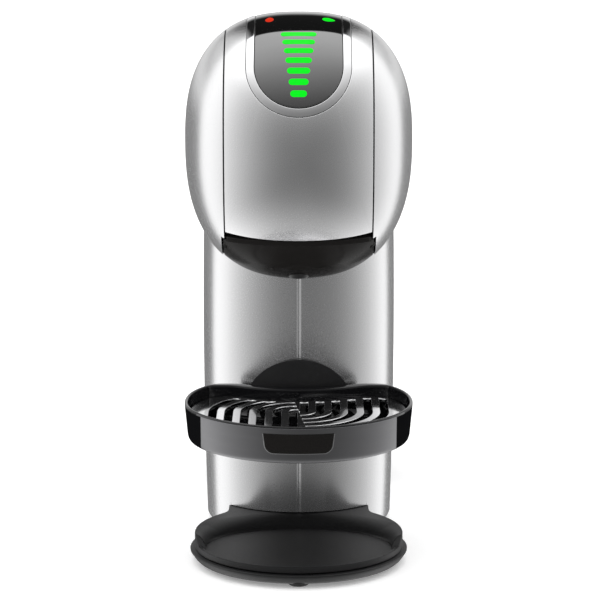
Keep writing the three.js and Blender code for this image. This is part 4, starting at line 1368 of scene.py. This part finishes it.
def make_world():
    """Soft boxes all round the machine, dim in front of it and dark behind it, under a bright ceiling."""
    world = bpy.data.worlds.new("studio")
    bpy.context.scene.world = world
    world.use_nodes = True
    nodes, links = world.node_tree.nodes, world.node_tree.links
    background = nodes["Background"]
    coords = nodes.new("ShaderNodeTexCoord").outputs["Generated"]
    separate = nodes.new("ShaderNodeSeparateXYZ")
    links.new(coords, separate.inputs["Vector"])
    rise = separate.outputs["Z"]
    facing = dot_with(nodes, links, coords, direction(10, -15))
    angle = math_node(nodes, links, "ARCCOSINE", facing, None)
    turn = math_node(nodes, links, "DIVIDE", angle, math.pi)
    ramp = nodes.new("ShaderNodeValToRGB")
    links.new(turn, ramp.inputs["Fac"])
    stops = ((0, 0.23), (30, 0.30), (45, 0.40), (60, 0.57), (75, 0.80), (90, 1.1), (105, 1.5), (120, 1.7),
             (180, 1.7))
    elements = ramp.color_ramp.elements
    while len(elements) < len(stops):
        elements.new(0.5)
    for element, (degrees, value) in zip(elements, stops):
        element.position = degrees / 180
        element.color = (value, value, value, 1)
    ceiling = map_range(nodes, links, rise, 0.5, 0.985, 1.0, 1.6)
    below = map_range(nodes, links, rise, -0.95, -0.5, 1.45, 1.0)
    boxes = math_node(nodes, links, "MULTIPLY", ramp.outputs["Color"], ceiling)
    boxes = math_node(nodes, links, "MULTIPLY", boxes, below)
    across = math_node(nodes, links, "ABSOLUTE", separate.outputs["X"], None)
    rising = map_range(nodes, links, rise, -0.06, 0.12, 0.30, 0.95)
    falling = map_range(nodes, links, rise, 0.20, 0.42, 0.95, 0.02)
    horizon = math_node(nodes, links, "MINIMUM", rising, falling)
    wings = map_range(nodes, links, across, 0.26, 0.46, 0.0, 0.85)
    upper = map_range(nodes, links, rise, 0.12, 0.40, 0.0, 0.85)
    wings = math_node(nodes, links, "MINIMUM", wings, upper)
    backdrop = math_node(nodes, links, "MAXIMUM", horizon, wings)
    behind = dot_with(nodes, links, coords, direction(BACKDROP_TURN, BACKDROP_RISE))
    edge = math.cos(math.radians(BACKDROP_RADIUS))
    inside = map_range(nodes, links, behind, edge - 0.012, edge + 0.012, 0.0, 1.0)
    share = nodes.new("ShaderNodeMix")
    links.new(inside, share.inputs["Factor"])
    links.new(boxes, share.inputs["A"])
    links.new(backdrop, share.inputs["B"])
    path = nodes.new("ShaderNodeLightPath")
    seen = nodes.new("ShaderNodeMix")
    seen.inputs["B"].default_value = 1.0
    links.new(path.outputs["Is Camera Ray"], seen.inputs["Factor"])
    links.new(share.outputs["Result"], seen.inputs["A"])
    links.new(seen.outputs["Result"], background.inputs["Color"])


# ---- Everything ----

make_camera()
make_floor()
make_world()
make_visor()
make_trim_ring()
make_touch_panel()
make_level_bars()
make_icons()
make_side_shell(-1)
make_side_shell(1)
make_top_cover()
make_column()
make_rear_cover()
make_base_plate()
make_dish()
make_feet()
make_tray()
make_band()
make_badge()
make_bracket()
make_grid()
make_holder()
make_nozzle()
make_tank()
make_lid()
make_button()
finish_kept_nodes()

bpy.context.scene.view_settings.view_transform = "Standard"
